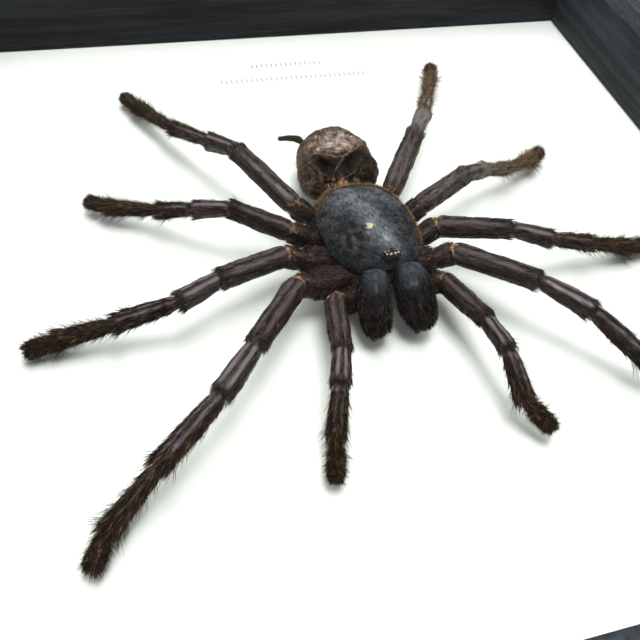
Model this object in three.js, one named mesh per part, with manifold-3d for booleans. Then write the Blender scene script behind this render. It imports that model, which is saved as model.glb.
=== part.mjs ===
// A dried tarantula mounted in a small glazed box frame. The frame lies on its back: +Z points out
// through the glass, the spider's head points to -Y and its left side to +X. The origin is the
// middle of the frame's back. All sizes are in millimetres.
import * as THREE from 'three';
import { mergeVertices } from 'three/addons/utils/BufferGeometryUtils.js';
import Module from 'manifold-3d';

const wasm = await Module();
wasm.setup();

// ---- Driving dimensions of the frame ----
const OPENING = 150;
const RAIL_WIDTH = 7;
const FRAME_DEPTH = 25;
const REBATE = 3;
const BOARD_FACE = 6.4;
const GLASS_SEAT = BOARD_FACE + 16;
const BOARD_THICKNESS = 2.7;
const PANEL_THICKNESS = 2.4;
const GLASS_THICKNESS = 2;
const ARRIS = 0.4;
const FIT_GAP = 0.3;
const MITRE_GAP = 0.2;

// ---- Driving dimensions of the body, in its own frame: head to -Y, z up from the board's face ----
const BODY_CENTRE = [-1.6, 0];
const BODY_TURN = THREE.MathUtils.degToRad(4);
const CARAPACE = { halfWidth: 8.5, halfLength: 10.2, margin: 8.2, dome: 4.6, underside: 0.7 };
const CARAPACE_MIDDLE = [0.15, 0.5];
const CARAPACE_CORNERS = 3.2;
const HEAD_NARROWING = 0.08;
const BACK_NARROWING = 0.2;
const BACKWARD_SLOPE = 0.13;
const STERNUM = { halfWidth: 3.4, halfLength: 7.8, halfHeight: 3.2, middle: [0, 0, 5.2] };
const EYE_MOUND = { halfWidth: 1.7, halfLength: 1.2, halfHeight: 0.85, middle: [0.7, -8.6, 10.7] };
const ABDOMEN = { halfWidth: 7.6, halfLength: 8.6, halfHeight: 5.1, centre: [1.6, 20.1, 6.3] };
const ABDOMEN_CORNERS = 2.5;
const ABDOMEN_TAPER = 0.24;
const ABDOMEN_LEAN = 0.7;
const ABDOMEN_RIDGES = { count: 5, depth: 0.035 };
const ABDOMEN_CREASE = { depth: 0.16, y: -0.45, width: 0.16 };
const BELLY_SAG = 0.85;
const PEDICEL = [[0.4, 11.3, 6.4, 1.2], [0.8, 13, 6.3, 1.3], [1.2, 15, 6.2, 1.4]];
const GLUE = { radius: 3.4, height: 1.1 };

// Middle lines from the root to the tip, and the half widths and half heights that go with their
// points. The right chelicera is splayed, the left one is stouter and presses against its root, and
// the left spinneret droops.
const CHELICERA_MIDDLES = {
  right: [[-3.3, -11, 9.3], [-3.5, -12, 9.1], [-4.3, -14, 8.1],
    [-4.9, -16, 6.6], [-5, -17.8, 4.9], [-4.9, -19, 3.5]],
  left: [[3, -11, 9.3], [2.9, -12.2, 9.1], [2.6, -14.6, 8.2],
    [2.9, -16.8, 6.6], [3.5, -18.4, 4.9], [4, -19.4, 3.6]],
};
const CHELICERA_GIRTH = {
  right: [[2.5, 2], [2.9, 2.5], [2.95, 3], [2.85, 3.1], [2.6, 2.7], [1.5, 1.4]],
  left: [[2.7, 2], [3.15, 2.5], [3.45, 3], [3.25, 3.1], [2.6, 2.7], [1.5, 1.4]],
};
const FANG_ROOTS = { right: [-4.7, -18.2], left: [3.2, -18.6] };
const SPINNERET_MIDDLES = {
  right: [[-2.6, 28.1, 6.2], [-3.4, 28.8, 6.8], [-4.9, 29.1, 6.9], [-7, 29.4, 6.8]],
  left: [[0.8, 29.5, 5], [0.9, 30.3, 4.4], [1, 31.2, 3.2], [1, 31.8, 1.8]],
};
const SPINNERET_GIRTH = [0.7, 0.75, 0.6, 0.48];

// ---- Driving dimensions of the limbs ----
// Lengths of the joints from the femur out. The pedipalps have no metatarsus.
const JOINT_LENGTHS = {
  leg_1: { femur: 16, patella: 9.7, tibia: 13, metatarsus: 10.7, tarsus: 6.7 },
  leg_2: { femur: 13.3, patella: 8, tibia: 10.8, metatarsus: 10.2, tarsus: 5.5 },
  leg_3: { femur: 11.3, patella: 7.1, tibia: 8.1, metatarsus: 9.9, tarsus: 5.7 },
  leg_4: { femur: 15.2, patella: 7.8, tibia: 11.5, metatarsus: 13.6, tarsus: 6.3 },
  pedipalp: { femur: 12.2, patella: 6.8, tibia: 7.9, tarsus: 7.6 },
};

// Where each coxa leaves the body's flank: distance from the middle line, y and height.
const COXA_ROOTS = {
  leg_1: { out: 4.6, y: -6.6, height: 5.3 },
  leg_2: { out: 4.8, y: -2.3, height: 5 },
  leg_3: { out: 4.8, y: 1.9, height: 4.4 },
  leg_4: { out: 4.1, y: 6.2, height: 4.5 },
  pedipalp: { out: 4, y: -10.4, height: 3.7 },
};

// How each limb lies. hip is where its femur starts. heading turns each joint out from straight
// ahead (-Y) to the limb's own side, and pitch lifts it from level, both in degrees.
const LIMBS = [
  { name: 'leg_1_right', hip: [-17.4, -11, 9.2],
    heading: [38, 43, 55, 52, 27], pitch: [7, -3, -20, -18, -3] },
  { name: 'leg_2_right', hip: [-17.4, -3.7, 8.6],
    heading: [69, 62, 95, 95, 80], pitch: [6, 3, -23, -18, -8] },
  { name: 'leg_3_right', hip: [-15.1, 2.1, 8.3],
    heading: [109, 124, 129, 119, 129], pitch: [19, -24, -27, -12, -8] },
  { name: 'leg_4_right', hip: [-12.8, 8.1, 8.4],
    heading: [145, 151, 150, 156, 155], pitch: [15, -20, -18, -14, -8] },
  { name: 'pedipalp_right', hip: [-11.4, -13.6, 7.1],
    heading: [12, 19, 17, 14], pitch: [10, 5, -45, -14] },
  { name: 'leg_1_left', hip: [11.9, -7.9, 8.5],
    heading: [41, 45, 43, 45, 45], pitch: [12, -8, -23, -10, -3] },
  { name: 'leg_2_left', hip: [11.4, -1.1, 8.2],
    heading: [60, 80, 93, 93, 93], pitch: [16, -16, -19, -18, -5] },
  { name: 'leg_3_left', hip: [10.2, 4.6, 8.3],
    heading: [112, 121, 110, 119, 127], pitch: [14, -22, -20, -14, -8] },
  { name: 'leg_4_left', hip: [6.6, 10.2, 7],
    heading: [144, 147, 152, 153, 159], pitch: [17, -10, -21, -11, -8] },
  { name: 'pedipalp_left', hip: [8.8, -12.3, 6.6],
    heading: [11, 6, 11, 33], pitch: [13, 3, -34, -19] },
];

// Half width of each joint along its length, from 0 at its base to 1 at its end, out to the tips
// of its hairs. The last value is the neck where the next joint starts.
const JOINT_PROFILES = {
  coxa: [[0, 1.3], [0.2, 1.55], [0.5, 1.9], [1, 2.1]],
  trochanter: [[0.5, 2.4], [1, 2]],
  femur: [[0.12, 2.25], [0.5, 2.3], [0.85, 2.2], [1, 1.75]],
  patella: [[0.25, 1.95], [0.7, 2.1], [1, 1.6]],
  tibia: [[0.15, 1.65], [0.5, 1.8], [0.88, 1.9], [1, 1.4]],
  metatarsus: [[0.2, 1.6], [0.6, 1.85], [0.9, 1.95], [1, 1.4]],
  tarsus: [[0.25, 1.7], [0.65, 1.9], [0.9, 1.5], [1, 0.8]],
};
// How stout each kind of limb is beside those widths: its coxa, the rest inside the knee, and the
// part beyond it.
const LIMB_GIRTH = {
  leg_1: { coxa: 1.08, inner: 0.88, outer: 0.95 },
  leg_2: { coxa: 0.98, inner: 0.88, outer: 0.88 },
  leg_3: { coxa: 0.86, inner: 0.85, outer: 0.8 },
  leg_4: { coxa: 0.85, inner: 0.85, outer: 0.79 },
  pedipalp: { coxa: 0.9, inner: 0.8, outer: 0.86 },
};
const INNER_JOINTS = ['trochanter', 'femur', 'patella'];
const TROCHANTER_LENGTH = 3;
const TROCHANTER_RISE = 2.1;
const LIMB_SIDES = 8;

// ---- Finishes ----
function finish(name, color, roughness) {
  return new THREE.MeshStandardMaterial({ name, color, roughness, metalness: 0 });
}
const blackRail = finish('black_rail', 0x17181b, 0.5);
const whiteBoard = finish('white_board', 0xf0f2ef, 0.9);
const brownPanel = finish('brown_panel', 0x6b4f35, 0.85);
const clearGlass = finish('clear_glass', 0xe8f2f0, 0.05);
clearGlass.transparent = true;
clearGlass.opacity = 0.15;
const slateCuticle = finish('slate_cuticle', 0x23252b, 0.5);
const brownCuticle = finish('brown_cuticle', 0x33231c, 0.5);
const driedSkin = finish('dried_skin', 0x42301f, 0.75);
const fangBlack = finish('fang_black', 0x0c0a0a, 0.25);
const driedGlue = finish('dried_glue', 0xc9bd9a, 0.4);

// ---- Helpers for solids ----
function closedGeometry(geometry) {
  geometry.deleteAttribute('normal');
  geometry.deleteAttribute('uv');
  return mergeVertices(geometry, 1e-4);
}

function toManifold(geometry) {
  const closed = closedGeometry(geometry);
  return new wasm.Manifold(new wasm.Mesh({
    numProp: 3,
    vertProperties: new Float32Array(closed.attributes.position.array),
    triVerts: new Uint32Array(closed.index.array),
  }));
}

function joined(...geometries) {
  const whole = geometries.map(toManifold).reduce((sum, next) => sum.add(next));
  const surface = whole.getMesh();
  const geometry = new THREE.BufferGeometry();
  geometry.setAttribute('position', new THREE.BufferAttribute(surface.vertProperties, 3));
  geometry.setIndex(new THREE.BufferAttribute(surface.triVerts, 1));
  return geometry;
}

function node(name, geometry, material) {
  const mesh = new THREE.Mesh(geometry, material);
  mesh.name = name;
  return mesh;
}

// A ball of one unit across its radius, with its poles on Z, each of whose points is then moved.
function shapedBall(around, down, move) {
  const geometry = new THREE.SphereGeometry(1, around, down).rotateX(Math.PI / 2);
  const position = geometry.attributes.position;
  const point = new THREE.Vector3();
  for (let i = 0; i < position.count; i += 1) {
    point.fromBufferAttribute(position, i);
    move(point);
    position.setXYZ(i, point.x, point.y, point.z);
  }
  return closedGeometry(geometry);
}

// A closed tube through rings of changing width. Each ring has a centre, a direction along the
// tube, and its half width and half height. A cylinder's rows of vertices are moved onto them.
function ringedTube(rings, sides) {
  const geometry = new THREE.CylinderGeometry(1, 1, 1, sides, rings.length - 1);
  const position = geometry.attributes.position;
  const upward = new THREE.Vector3(0, 0, 1);
  const point = new THREE.Vector3();
  for (let i = 0; i < position.count; i += 1) {
    point.fromBufferAttribute(position, i);
    const ring = rings[Math.round((point.y + 0.5) * (rings.length - 1))];
    const side = new THREE.Vector3().crossVectors(ring.along, upward).normalize();
    const above = new THREE.Vector3().crossVectors(side, ring.along);
    const moved = ring.centre.clone();
    moved.addScaledVector(side, point.x * ring.halfWidth);
    moved.addScaledVector(above, point.z * ring.halfHeight);
    position.setXYZ(i, moved.x, moved.y, moved.z);
  }
  return closedGeometry(geometry);
}

// Rings along a list of [x, y, z, halfWidth, halfHeight], each facing along its neighbours.
function ringsThrough(stations) {
  const centres = stations.map(([x, y, z]) => new THREE.Vector3(x, y, z));
  return stations.map(([, , , halfWidth, halfHeight = halfWidth], i) => {
    const before = centres[Math.max(i - 1, 0)];
    const after = centres[Math.min(i + 1, centres.length - 1)];
    const along = new THREE.Vector3().subVectors(after, before).normalize();
    return { centre: centres[i], along, halfWidth, halfHeight };
  });
}

// ---- Frame ----
// Section of a rail: x runs outward from the opening and y up from the back. It is stepped at the
// front for the glass and at the back for the board and the panel.
function railSection() {
  const shoulder = BOARD_FACE + FIT_GAP;
  const section = new THREE.Shape();
  section.moveTo(REBATE, 0);
  section.lineTo(RAIL_WIDTH - ARRIS, 0);
  section.lineTo(RAIL_WIDTH, ARRIS);
  section.lineTo(RAIL_WIDTH, FRAME_DEPTH - ARRIS);
  section.lineTo(RAIL_WIDTH - ARRIS, FRAME_DEPTH);
  section.lineTo(REBATE + ARRIS, FRAME_DEPTH);
  section.lineTo(REBATE, FRAME_DEPTH - ARRIS);
  section.lineTo(REBATE, GLASS_SEAT);
  section.lineTo(ARRIS, GLASS_SEAT);
  section.lineTo(0, GLASS_SEAT - ARRIS);
  section.lineTo(0, shoulder);
  section.lineTo(REBATE, shoulder);
  section.closePath();
  return section;
}

// The rail on the +Y side, mitred: each end is sheared so that it lengthens with the width.
function railGeometry() {
  const geometry = new THREE.ExtrudeGeometry(railSection(), { depth: 1, bevelEnabled: false });
  const position = geometry.attributes.position;
  for (let i = 0; i < position.count; i += 1) {
    const outward = position.getX(i);
    const height = position.getY(i);
    const end = position.getZ(i) > 0.5 ? 1 : -1;
    position.setXYZ(i, end * (OPENING / 2 + outward - MITRE_GAP), OPENING / 2 + outward, height);
  }
  return closedGeometry(geometry);
}

function rails() {
  const quarterTurns = { rail_label_end: 0, rail_right: 1, rail_head_end: 2, rail_left: 3 };
  return Object.entries(quarterTurns).map(([name, turns]) => {
    const rail = node(name, railGeometry(), blackRail);
    rail.rotation.z = turns * Math.PI / 2;
    return rail;
  });
}

// A square sheet that fills the rebate, with its top at the given height.
function sheet(name, thickness, top, material) {
  const side = OPENING + 2 * (REBATE - FIT_GAP);
  const piece = node(name, new THREE.BoxGeometry(side, side, thickness), material);
  piece.position.z = top - thickness / 2;
  return piece;
}

function sheets() {
  const panelTop = BOARD_FACE - BOARD_THICKNESS - FIT_GAP;
  const glassTop = GLASS_SEAT + FIT_GAP + GLASS_THICKNESS;
  return [
    sheet('back_panel', PANEL_THICKNESS, panelTop, brownPanel),
    sheet('mount_board', BOARD_THICKNESS, BOARD_FACE, whiteBoard),
    sheet('glass_pane', GLASS_THICKNESS, glassTop, clearGlass),
  ];
}

// ---- Body ----
// How far out a rounded oblong reaches on one axis, for the cosine or sine of the way it is seen.
// Two corners make a circle, and more make it squarer.
function oblong(share, corners) {
  return Math.sign(share) * Math.abs(share) ** (2 / corners);
}

// The outline of the carapace from above is a rounded oblong that narrows to the head and, more, to
// the back. Its dome is highest just behind the eyes and slopes down to the back, and its underside
// is shallow.
function carapaceGeometry() {
  return shapedBall(28, 14, (point) => {
    const reach = Math.hypot(point.x, point.y);
    const angle = Math.atan2(point.y, point.x);
    const across = oblong(Math.cos(angle), CARAPACE_CORNERS);
    const lengthwise = oblong(Math.sin(angle), CARAPACE_CORNERS);
    const toHead = HEAD_NARROWING * Math.max(-lengthwise, 0) ** 2;
    const toBack = BACK_NARROWING * Math.max(lengthwise, 0) ** 2;
    const dome = CARAPACE.dome * (1 - BACKWARD_SLOPE * lengthwise * reach);
    const rise = point.z > 0 ? dome : CARAPACE.underside;
    point.x = CARAPACE_MIDDLE[0] + CARAPACE.halfWidth * across * (1 - toHead - toBack) * reach;
    point.y = CARAPACE_MIDDLE[1] + CARAPACE.halfLength * lengthwise * reach;
    point.z = CARAPACE.margin + rise * point.z;
  });
}

// A stretched ball about its middle.
function ellipsoid(around, down, { halfWidth, halfLength, halfHeight, middle: [x, y, z] }) {
  return shapedBall(around, down, (point) => {
    point.set(x + halfWidth * point.x, y + halfLength * point.y, z + halfHeight * point.z);
  });
}

function cephalothorax() {
  const sternum = ellipsoid(16, 8, STERNUM);
  const eyes = ellipsoid(12, 6, EYE_MOUND);
  return node('cephalothorax', joined(carapaceGeometry(), sternum, eyes), slateCuticle);
}

// The abdomen has dried to a puckered bag, broad in front, whose narrow back leans to its left. A deep
// crease crosses it behind the pedicel, and its flanks have sunk between a few broad ridges.
function abdomen() {
  const [x, y, z] = ABDOMEN.centre;
  const bag = shapedBall(24, 14, (point) => {
    const angle = Math.atan2(point.y, point.x);
    const wave = Math.sin(ABDOMEN_RIDGES.count * angle + 1) * (1 - point.z ** 2);
    const ridges = 1 + ABDOMEN_RIDGES.depth * wave;
    const across = oblong(point.x, ABDOMEN_CORNERS) * ridges;
    const lengthwise = oblong(point.y, ABDOMEN_CORNERS) * ridges;
    const fromCrease = (lengthwise - ABDOMEN_CREASE.y) / ABDOMEN_CREASE.width;
    const crease = ABDOMEN_CREASE.depth * Math.exp(-(fromCrease ** 2)) * Math.max(point.z, 0);
    const sag = point.z < 0 ? BELLY_SAG : 1;
    point.set(
      x + ABDOMEN.halfWidth * across * (1 - ABDOMEN_TAPER * lengthwise) + ABDOMEN_LEAN * lengthwise,
      y + ABDOMEN.halfLength * lengthwise,
      z + ABDOMEN.halfHeight * (point.z * sag - crease),
    );
  });
  const pedicel = ringedTube(ringsThrough(PEDICEL), 8);
  return node('abdomen', joined(bag, pedicel), driedSkin);
}

// A chelicera is a stout blunt lobe that leans down from the front of the carapace.
function chelicera(side) {
  const girth = CHELICERA_GIRTH[side];
  const stations = CHELICERA_MIDDLES[side].map((middle, i) => [...middle, ...girth[i]]);
  return node(`chelicera_${side}`, ringedTube(ringsThrough(stations), 12), slateCuticle);
}

// A fang is a curved spike folded back under its chelicera.
function fang(side) {
  const [x, y] = FANG_ROOTS[side];
  const spike = ringedTube(ringsThrough([
    [x, y, 1.2, 0.55],
    [x, y + 1.8, 0.95, 0.5],
    [x, y + 3.8, 1, 0.35],
    [x, y + 5.6, 1.5, 0.1],
  ]), 8);
  return node(`fang_${side}`, spike, fangBlack);
}

// The two long spinnerets stand out behind the abdomen.
function spinneret(side) {
  const stations = SPINNERET_MIDDLES[side].map((middle, i) => [...middle, SPINNERET_GIRTH[i]]);
  return node(`spinneret_${side}`, ringedTube(ringsThrough(stations), 8), driedSkin);
}

function body() {
  const group = new THREE.Group();
  group.position.set(BODY_CENTRE[0], BODY_CENTRE[1], 0);
  group.rotation.z = BODY_TURN;
  group.add(cephalothorax(), abdomen());
  for (const side of ['right', 'left']) {
    group.add(chelicera(side), fang(side), spinneret(side));
  }
  return group;
}

// A dab of dried glue under the sternum holds the specimen to the board.
function glueDab() {
  const { radius, height } = GLUE;
  const outline = [new THREE.Vector2(0, 0), new THREE.Vector2(radius, 0)];
  outline.push(new THREE.Vector2(radius * 0.85, height * 0.6));
  outline.push(new THREE.Vector2(radius * 0.4, height), new THREE.Vector2(0, height));
  const dab = new THREE.LatheGeometry(outline, 16).rotateX(Math.PI / 2);
  const piece = node('glue_dab', closedGeometry(dab), driedGlue);
  piece.position.set(BODY_CENTRE[0], BODY_CENTRE[1], FIT_GAP);
  return piece;
}

// ---- Limbs ----
function bodyPoint(x, y, z) {
  const point = new THREE.Vector3(x, y, z).applyAxisAngle(new THREE.Vector3(0, 0, 1), BODY_TURN);
  return point.add(new THREE.Vector3(BODY_CENTRE[0], BODY_CENTRE[1], 0));
}

// The ends of a limb's joints, from the root of the coxa to the tip of the tarsus.
function limbJoints(limb, kind, outward) {
  const root = COXA_ROOTS[kind];
  const start = bodyPoint(root.out * outward, root.y, root.height);
  const hip = new THREE.Vector3(...limb.hip);
  const inward = start.clone().sub(hip).setZ(0).setLength(TROCHANTER_LENGTH);
  const coxaEnd = hip.clone().add(inward).add(new THREE.Vector3(0, 0, -TROCHANTER_RISE));
  const ends = [start, coxaEnd, hip];
  Object.values(JOINT_LENGTHS[kind]).forEach((length, i) => {
    const heading = THREE.MathUtils.degToRad(limb.heading[i]);
    const pitch = THREE.MathUtils.degToRad(limb.pitch[i]);
    const along = new THREE.Vector3(
      outward * Math.sin(heading) * Math.cos(pitch),
      -Math.cos(heading) * Math.cos(pitch),
      Math.sin(pitch),
    );
    ends.push(ends.at(-1).clone().addScaledVector(along, length));
  });
  return ends;
}

function limb(limbPose) {
  const kind = limbPose.name.replace(/_(left|right)$/, '');
  const outward = limbPose.name.endsWith('left') ? 1 : -1;
  const ends = limbJoints(limbPose, kind, outward);
  const joints = ['coxa', 'trochanter', ...Object.keys(JOINT_LENGTHS[kind])];
  const stations = joints.flatMap((joint, i) => {
    const stout = LIMB_GIRTH[kind];
    const legGirth = INNER_JOINTS.includes(joint) ? stout.inner : stout.outer;
    const girth = joint === 'coxa' ? stout.coxa : legGirth;
    return JOINT_PROFILES[joint].map(([share, halfWidth]) => {
      const centre = ends[i].clone().lerp(ends[i + 1], share);
      return [...centre.toArray(), halfWidth * girth];
    });
  });
  return node(limbPose.name, ringedTube(ringsThrough(stations), LIMB_SIDES), brownCuticle);
}

function specimen() {
  const group = new THREE.Group();
  group.position.z = BOARD_FACE;
  group.add(body(), glueDab(), ...LIMBS.map(limb));
  return group;
}

const framedTarantula = new THREE.Group();
framedTarantula.add(...rails(), ...sheets(), specimen());
export default framedTarantula;
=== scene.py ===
"""A dried tarantula on a white board in a glazed black box frame, dressed over its solids.

The frame lies on its back: +Z points out through the glass, the spider's head points to -Y and its
left side to +X. Lengths are worked out in millimetres and put into the meshes in metres.
"""

import bpy
import numpy as np
from mathutils import Matrix


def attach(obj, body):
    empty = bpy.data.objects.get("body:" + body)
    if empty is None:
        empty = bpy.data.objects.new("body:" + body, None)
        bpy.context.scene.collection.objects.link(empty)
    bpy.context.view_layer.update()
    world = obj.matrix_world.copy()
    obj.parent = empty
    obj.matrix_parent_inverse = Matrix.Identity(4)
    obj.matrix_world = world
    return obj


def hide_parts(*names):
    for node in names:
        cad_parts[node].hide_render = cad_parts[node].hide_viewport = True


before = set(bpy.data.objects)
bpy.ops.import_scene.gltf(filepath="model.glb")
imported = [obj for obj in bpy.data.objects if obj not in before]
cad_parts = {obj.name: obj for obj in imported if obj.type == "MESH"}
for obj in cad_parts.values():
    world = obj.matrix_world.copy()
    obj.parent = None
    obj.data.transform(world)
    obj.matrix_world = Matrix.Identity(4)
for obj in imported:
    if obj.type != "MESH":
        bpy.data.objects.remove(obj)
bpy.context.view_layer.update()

# ---- Studio ----
# The frame lies on a plain pale floor under four broad lamps, the strongest above and behind it. The
# glass would mirror the two above it as a white veil, so it alone takes no light from those.
MM = 0.001
CAMERA_AT = (-47.0, -93.3, 112.8)
CAMERA_RIGHT = (0.958, -0.268, 0.104)
CAMERA_AHEAD = (0.2496, 0.5922, -0.7664)
LENS_TO_SENSOR = 1.25


def unit(vectors):
    """Each vector divided by its own length."""
    vectors = np.asarray(vectors, float)
    return vectors / np.linalg.norm(vectors, axis=-1, keepdims=True)


def facing(place, ahead, right):
    """A placement in metres whose -Z looks ahead and whose +X is as near to right as it can be."""
    ahead = unit(ahead)
    upward = unit(np.cross(right, ahead))
    axes = np.stack([np.cross(ahead, upward), upward, -ahead], axis=1)
    placed = np.eye(4)
    placed[:3, :3] = axes
    placed[:3, 3] = np.asarray(place) * MM
    return Matrix(placed.tolist())


lens = bpy.data.cameras.new("camera")
lens.sensor_width = 36
lens.lens = LENS_TO_SENSOR * lens.sensor_width
lens.clip_start = 0.005
camera = bpy.data.objects.new("camera", lens)
camera.matrix_world = facing(CAMERA_AT, CAMERA_AHEAD, CAMERA_RIGHT)
bpy.context.scene.collection.objects.link(camera)
bpy.context.scene.camera = camera
bpy.context.scene.view_settings.view_transform = "Standard"

BULB_COLOUR = (0.995, 1.0, 0.985)
# Where each lamp stands, its size and power, and whether the glass takes light from it.
LAMPS = {
    "lamp_behind": {"at": (40, 300, 640), "size": 500, "watts": 5.5, "mirrored": False},
    "lamp_above": {"at": (0, -70, 700), "size": 260, "watts": 4.5, "mirrored": False},
    "lamp_left": {"at": (-480, -60, 420), "size": 300, "watts": 0.95, "mirrored": True},
    "lamp_right": {"at": (520, -240, 420), "size": 360, "watts": 0.95, "mirrored": True},
}
glass_alone = bpy.data.collections.new("glass_alone")
glass_alone.objects.link(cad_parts["glass_pane"])
glass_alone.collection_objects[0].light_linking.link_state = "EXCLUDE"
for lamp_name, lamp in LAMPS.items():
    bulb = bpy.data.lights.new(lamp_name, "AREA")
    bulb.size = lamp["size"] * MM
    bulb.energy = lamp["watts"]
    bulb.color = BULB_COLOUR
    holder = bpy.data.objects.new(lamp_name, bulb)
    holder.matrix_world = facing(lamp["at"], -np.array(lamp["at"]), (1, 0.1, 0))
    if not lamp["mirrored"]:
        holder.light_linking.receiver_collection = glass_alone
    bpy.context.scene.collection.objects.link(holder)


def place(tree, kind, inputs=(), **settings):
    """Adds a node. inputs maps a socket's name or number to its value or to the socket that feeds it."""
    made = tree.nodes.new(kind)
    for key, value in settings.items():
        setattr(made, key, value)
    for key, value in dict(inputs).items():
        if isinstance(value, bpy.types.NodeSocket):
            tree.links.new(value, made.inputs[key])
        else:
            made.inputs[key].default_value = value
    return made


def math(tree, operation, *values):
    """One sum, worked out over the surface."""
    return place(tree, "ShaderNodeMath", dict(enumerate(values)), operation=operation).outputs[0]


def blended(tree, share, low, high):
    """The colour between low and high at share."""
    inputs = {"Factor": share, 6: low, 7: high}
    return place(tree, "ShaderNodeMix", inputs, data_type="RGBA").outputs[2]


def ramped(tree, value, low, high):
    """0 where value is below low, 1 above high, and eased in between."""
    inputs = {0: value, 1: low, 2: high}
    return place(tree, "ShaderNodeMapRange", inputs, interpolation_type="SMOOTHSTEP").outputs[0]


def finish(name, roughness, **constants):
    """A material with its tree and its Principled shader."""
    material = bpy.data.materials.new(name)
    material.use_nodes = True
    tree = material.node_tree
    shader = tree.nodes["Principled BSDF"]
    shader.inputs["Roughness"].default_value = roughness
    for socket, value in constants.items():
        shader.inputs[socket.replace("_", " ")].default_value = value
    return material, tree, shader


def object_place(tree):
    """The place on the object, in metres."""
    return tree.nodes.new("ShaderNodeTexCoord").outputs["Object"]


def noise(tree, vector, scale, detail=2.0, roughness=0.5):
    """Cloudy noise from 0 to 1, with scale clouds a metre."""
    inputs = {"Vector": vector, "Scale": scale, "Detail": detail, "Roughness": roughness}
    return place(tree, "ShaderNodeTexNoise", inputs).outputs[0]


def paint(tree, shader, colour):
    """Makes a colour that changes over the surface its base colour."""
    tree.links.new(colour, shader.inputs["Base Color"])


def emboss(tree, shader, height, strength, distance):
    """Lets height stand out of the surface by up to distance, in metres."""
    inputs = {"Height": height, "Strength": strength, "Distance": distance}
    tree.links.new(place(tree, "ShaderNodeBump", inputs).outputs[0], shader.inputs["Normal"])


FLOOR_HALF = 1.5
floor_finish, tree, shader = finish("pale_floor", 0.85)
clouds = noise(tree, object_place(tree), 9.0)
paint(tree, shader, blended(tree, clouds, (0.62, 0.64, 0.65, 1), (0.68, 0.69, 0.7, 1)))
corners = [(x * FLOOR_HALF, y * FLOOR_HALF, 0) for x, y in ((-1, -1), (1, -1), (1, 1), (-1, 1))]
floor_mesh = bpy.data.meshes.new("floor")
floor_mesh.from_pydata(corners, [], [(0, 1, 2, 3)])
floor_mesh.materials.append(floor_finish)
floor = bpy.data.objects.new("floor", floor_mesh)
bpy.context.scene.collection.objects.link(floor)

AIR_COLOUR = (0.98, 0.98, 0.96, 1)
AIR_STRENGTH = 0.025
studio_air = bpy.data.worlds.new("studio_air")
studio_air.use_nodes = True
backdrop = studio_air.node_tree.nodes["Background"]
backdrop.inputs["Color"].default_value = AIR_COLOUR
backdrop.inputs["Strength"].default_value = AIR_STRENGTH
bpy.context.scene.world = studio_air

# ---- Mount board ----
# A matte white board that fills the rebate, with a grey bloom of fine fibres. Where such a board
# carries a label, it has two plain ruled rows of ticks, which spell nothing.
TICK_ROWS = [{"x": 0.7, "y": 58.3, "width": 35.5}, {"x": 0.0, "y": 63.6, "width": 18.0}]
TICK = {"height": 1.5, "pitch": 1.15, "inked": 0.32}


def repaint(node, material):
    """Gives a solid that stays in sight its finish, in every slot."""
    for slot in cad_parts[node].material_slots:
        slot.material = material


def tick_rows(tree, coordinates):
    """1 on the ticks: inside a row's height and width, where the place along it is in a tick."""
    axes = place(tree, "ShaderNodeSeparateXYZ", {0: coordinates}).outputs
    along = math(tree, "FRACT", math(tree, "DIVIDE", axes[0], TICK["pitch"] * MM))
    inked = math(tree, "LESS_THAN", along, TICK["inked"])
    masks = []
    for row in TICK_ROWS:
        across = math(tree, "COMPARE", axes[1], row["y"] * MM, TICK["height"] / 2 * MM)
        within = math(tree, "COMPARE", axes[0], row["x"] * MM, row["width"] / 2 * MM)
        masks.append(math(tree, "MULTIPLY", math(tree, "MULTIPLY", across, within), inked))
    return math(tree, "MAXIMUM", *masks)


board_finish, tree, shader = finish("matte_board", 0.9)
coordinates = object_place(tree)
clouds = noise(tree, coordinates, 22.0, 4.0)
paper = blended(tree, clouds, (0.81, 0.815, 0.775, 1), (0.88, 0.885, 0.86, 1))
paint(tree, shader, blended(tree, tick_rows(tree, coordinates), paper, (0.33, 0.36, 0.35, 1)))
emboss(tree, shader, noise(tree, coordinates, 1900.0, 3.0), 0.12, 0.00005)
repaint("mount_board", board_finish)

# ---- Rails and back panel ----
# Four mitred rails of black-stained wood under a satin coat, with a fibrous grain along each rail
# and grey on the faces that look up, partly dust and partly a painted sheen. The panel behind the
# board is brown hardboard.


def shader_group(name, takes, gives):
    """An empty node group, with what it takes and what it puts out. takes and gives map each
    socket's name to its kind."""
    group = bpy.data.node_groups.new(name, "ShaderNodeTree")
    for in_out, sockets in (("INPUT", takes), ("OUTPUT", gives)):
        for socket, kind in sockets.items():
            group.interface.new_socket(socket, in_out=in_out, socket_type="NodeSocket" + kind)
    return group, group.nodes.new("NodeGroupInput").outputs, group.nodes.new("NodeGroupOutput").inputs


def stretched(tree, vector, factors):
    """The vector with each of its axes multiplied by its factor."""
    inputs = {0: vector, 1: factors}
    return place(tree, "ShaderNodeVectorMath", inputs, operation="MULTIPLY").outputs[0]


def fibrous_grain():
    """Group: noise stretched along the grain gives fibres, as a colour between two and a height."""
    takes = {"Vector": "Vector", "Dark": "Color", "Pale": "Color"}
    group, given, put = shader_group("fibrous_grain", takes, {"Color": "Color", "Height": "Float"})
    vector = stretched(group, given["Vector"], (0.06, 1, 1))
    height = math(group, "ADD", noise(group, vector, 1500.0, 5.0), noise(group, vector, 160.0, 3.0))
    share = ramped(group, height, 0.75, 1.3)
    group.links.new(blended(group, share, given["Dark"], given["Pale"]), put["Color"])
    group.links.new(height, put["Height"])
    return group


GRAIN = fibrous_grain()


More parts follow.
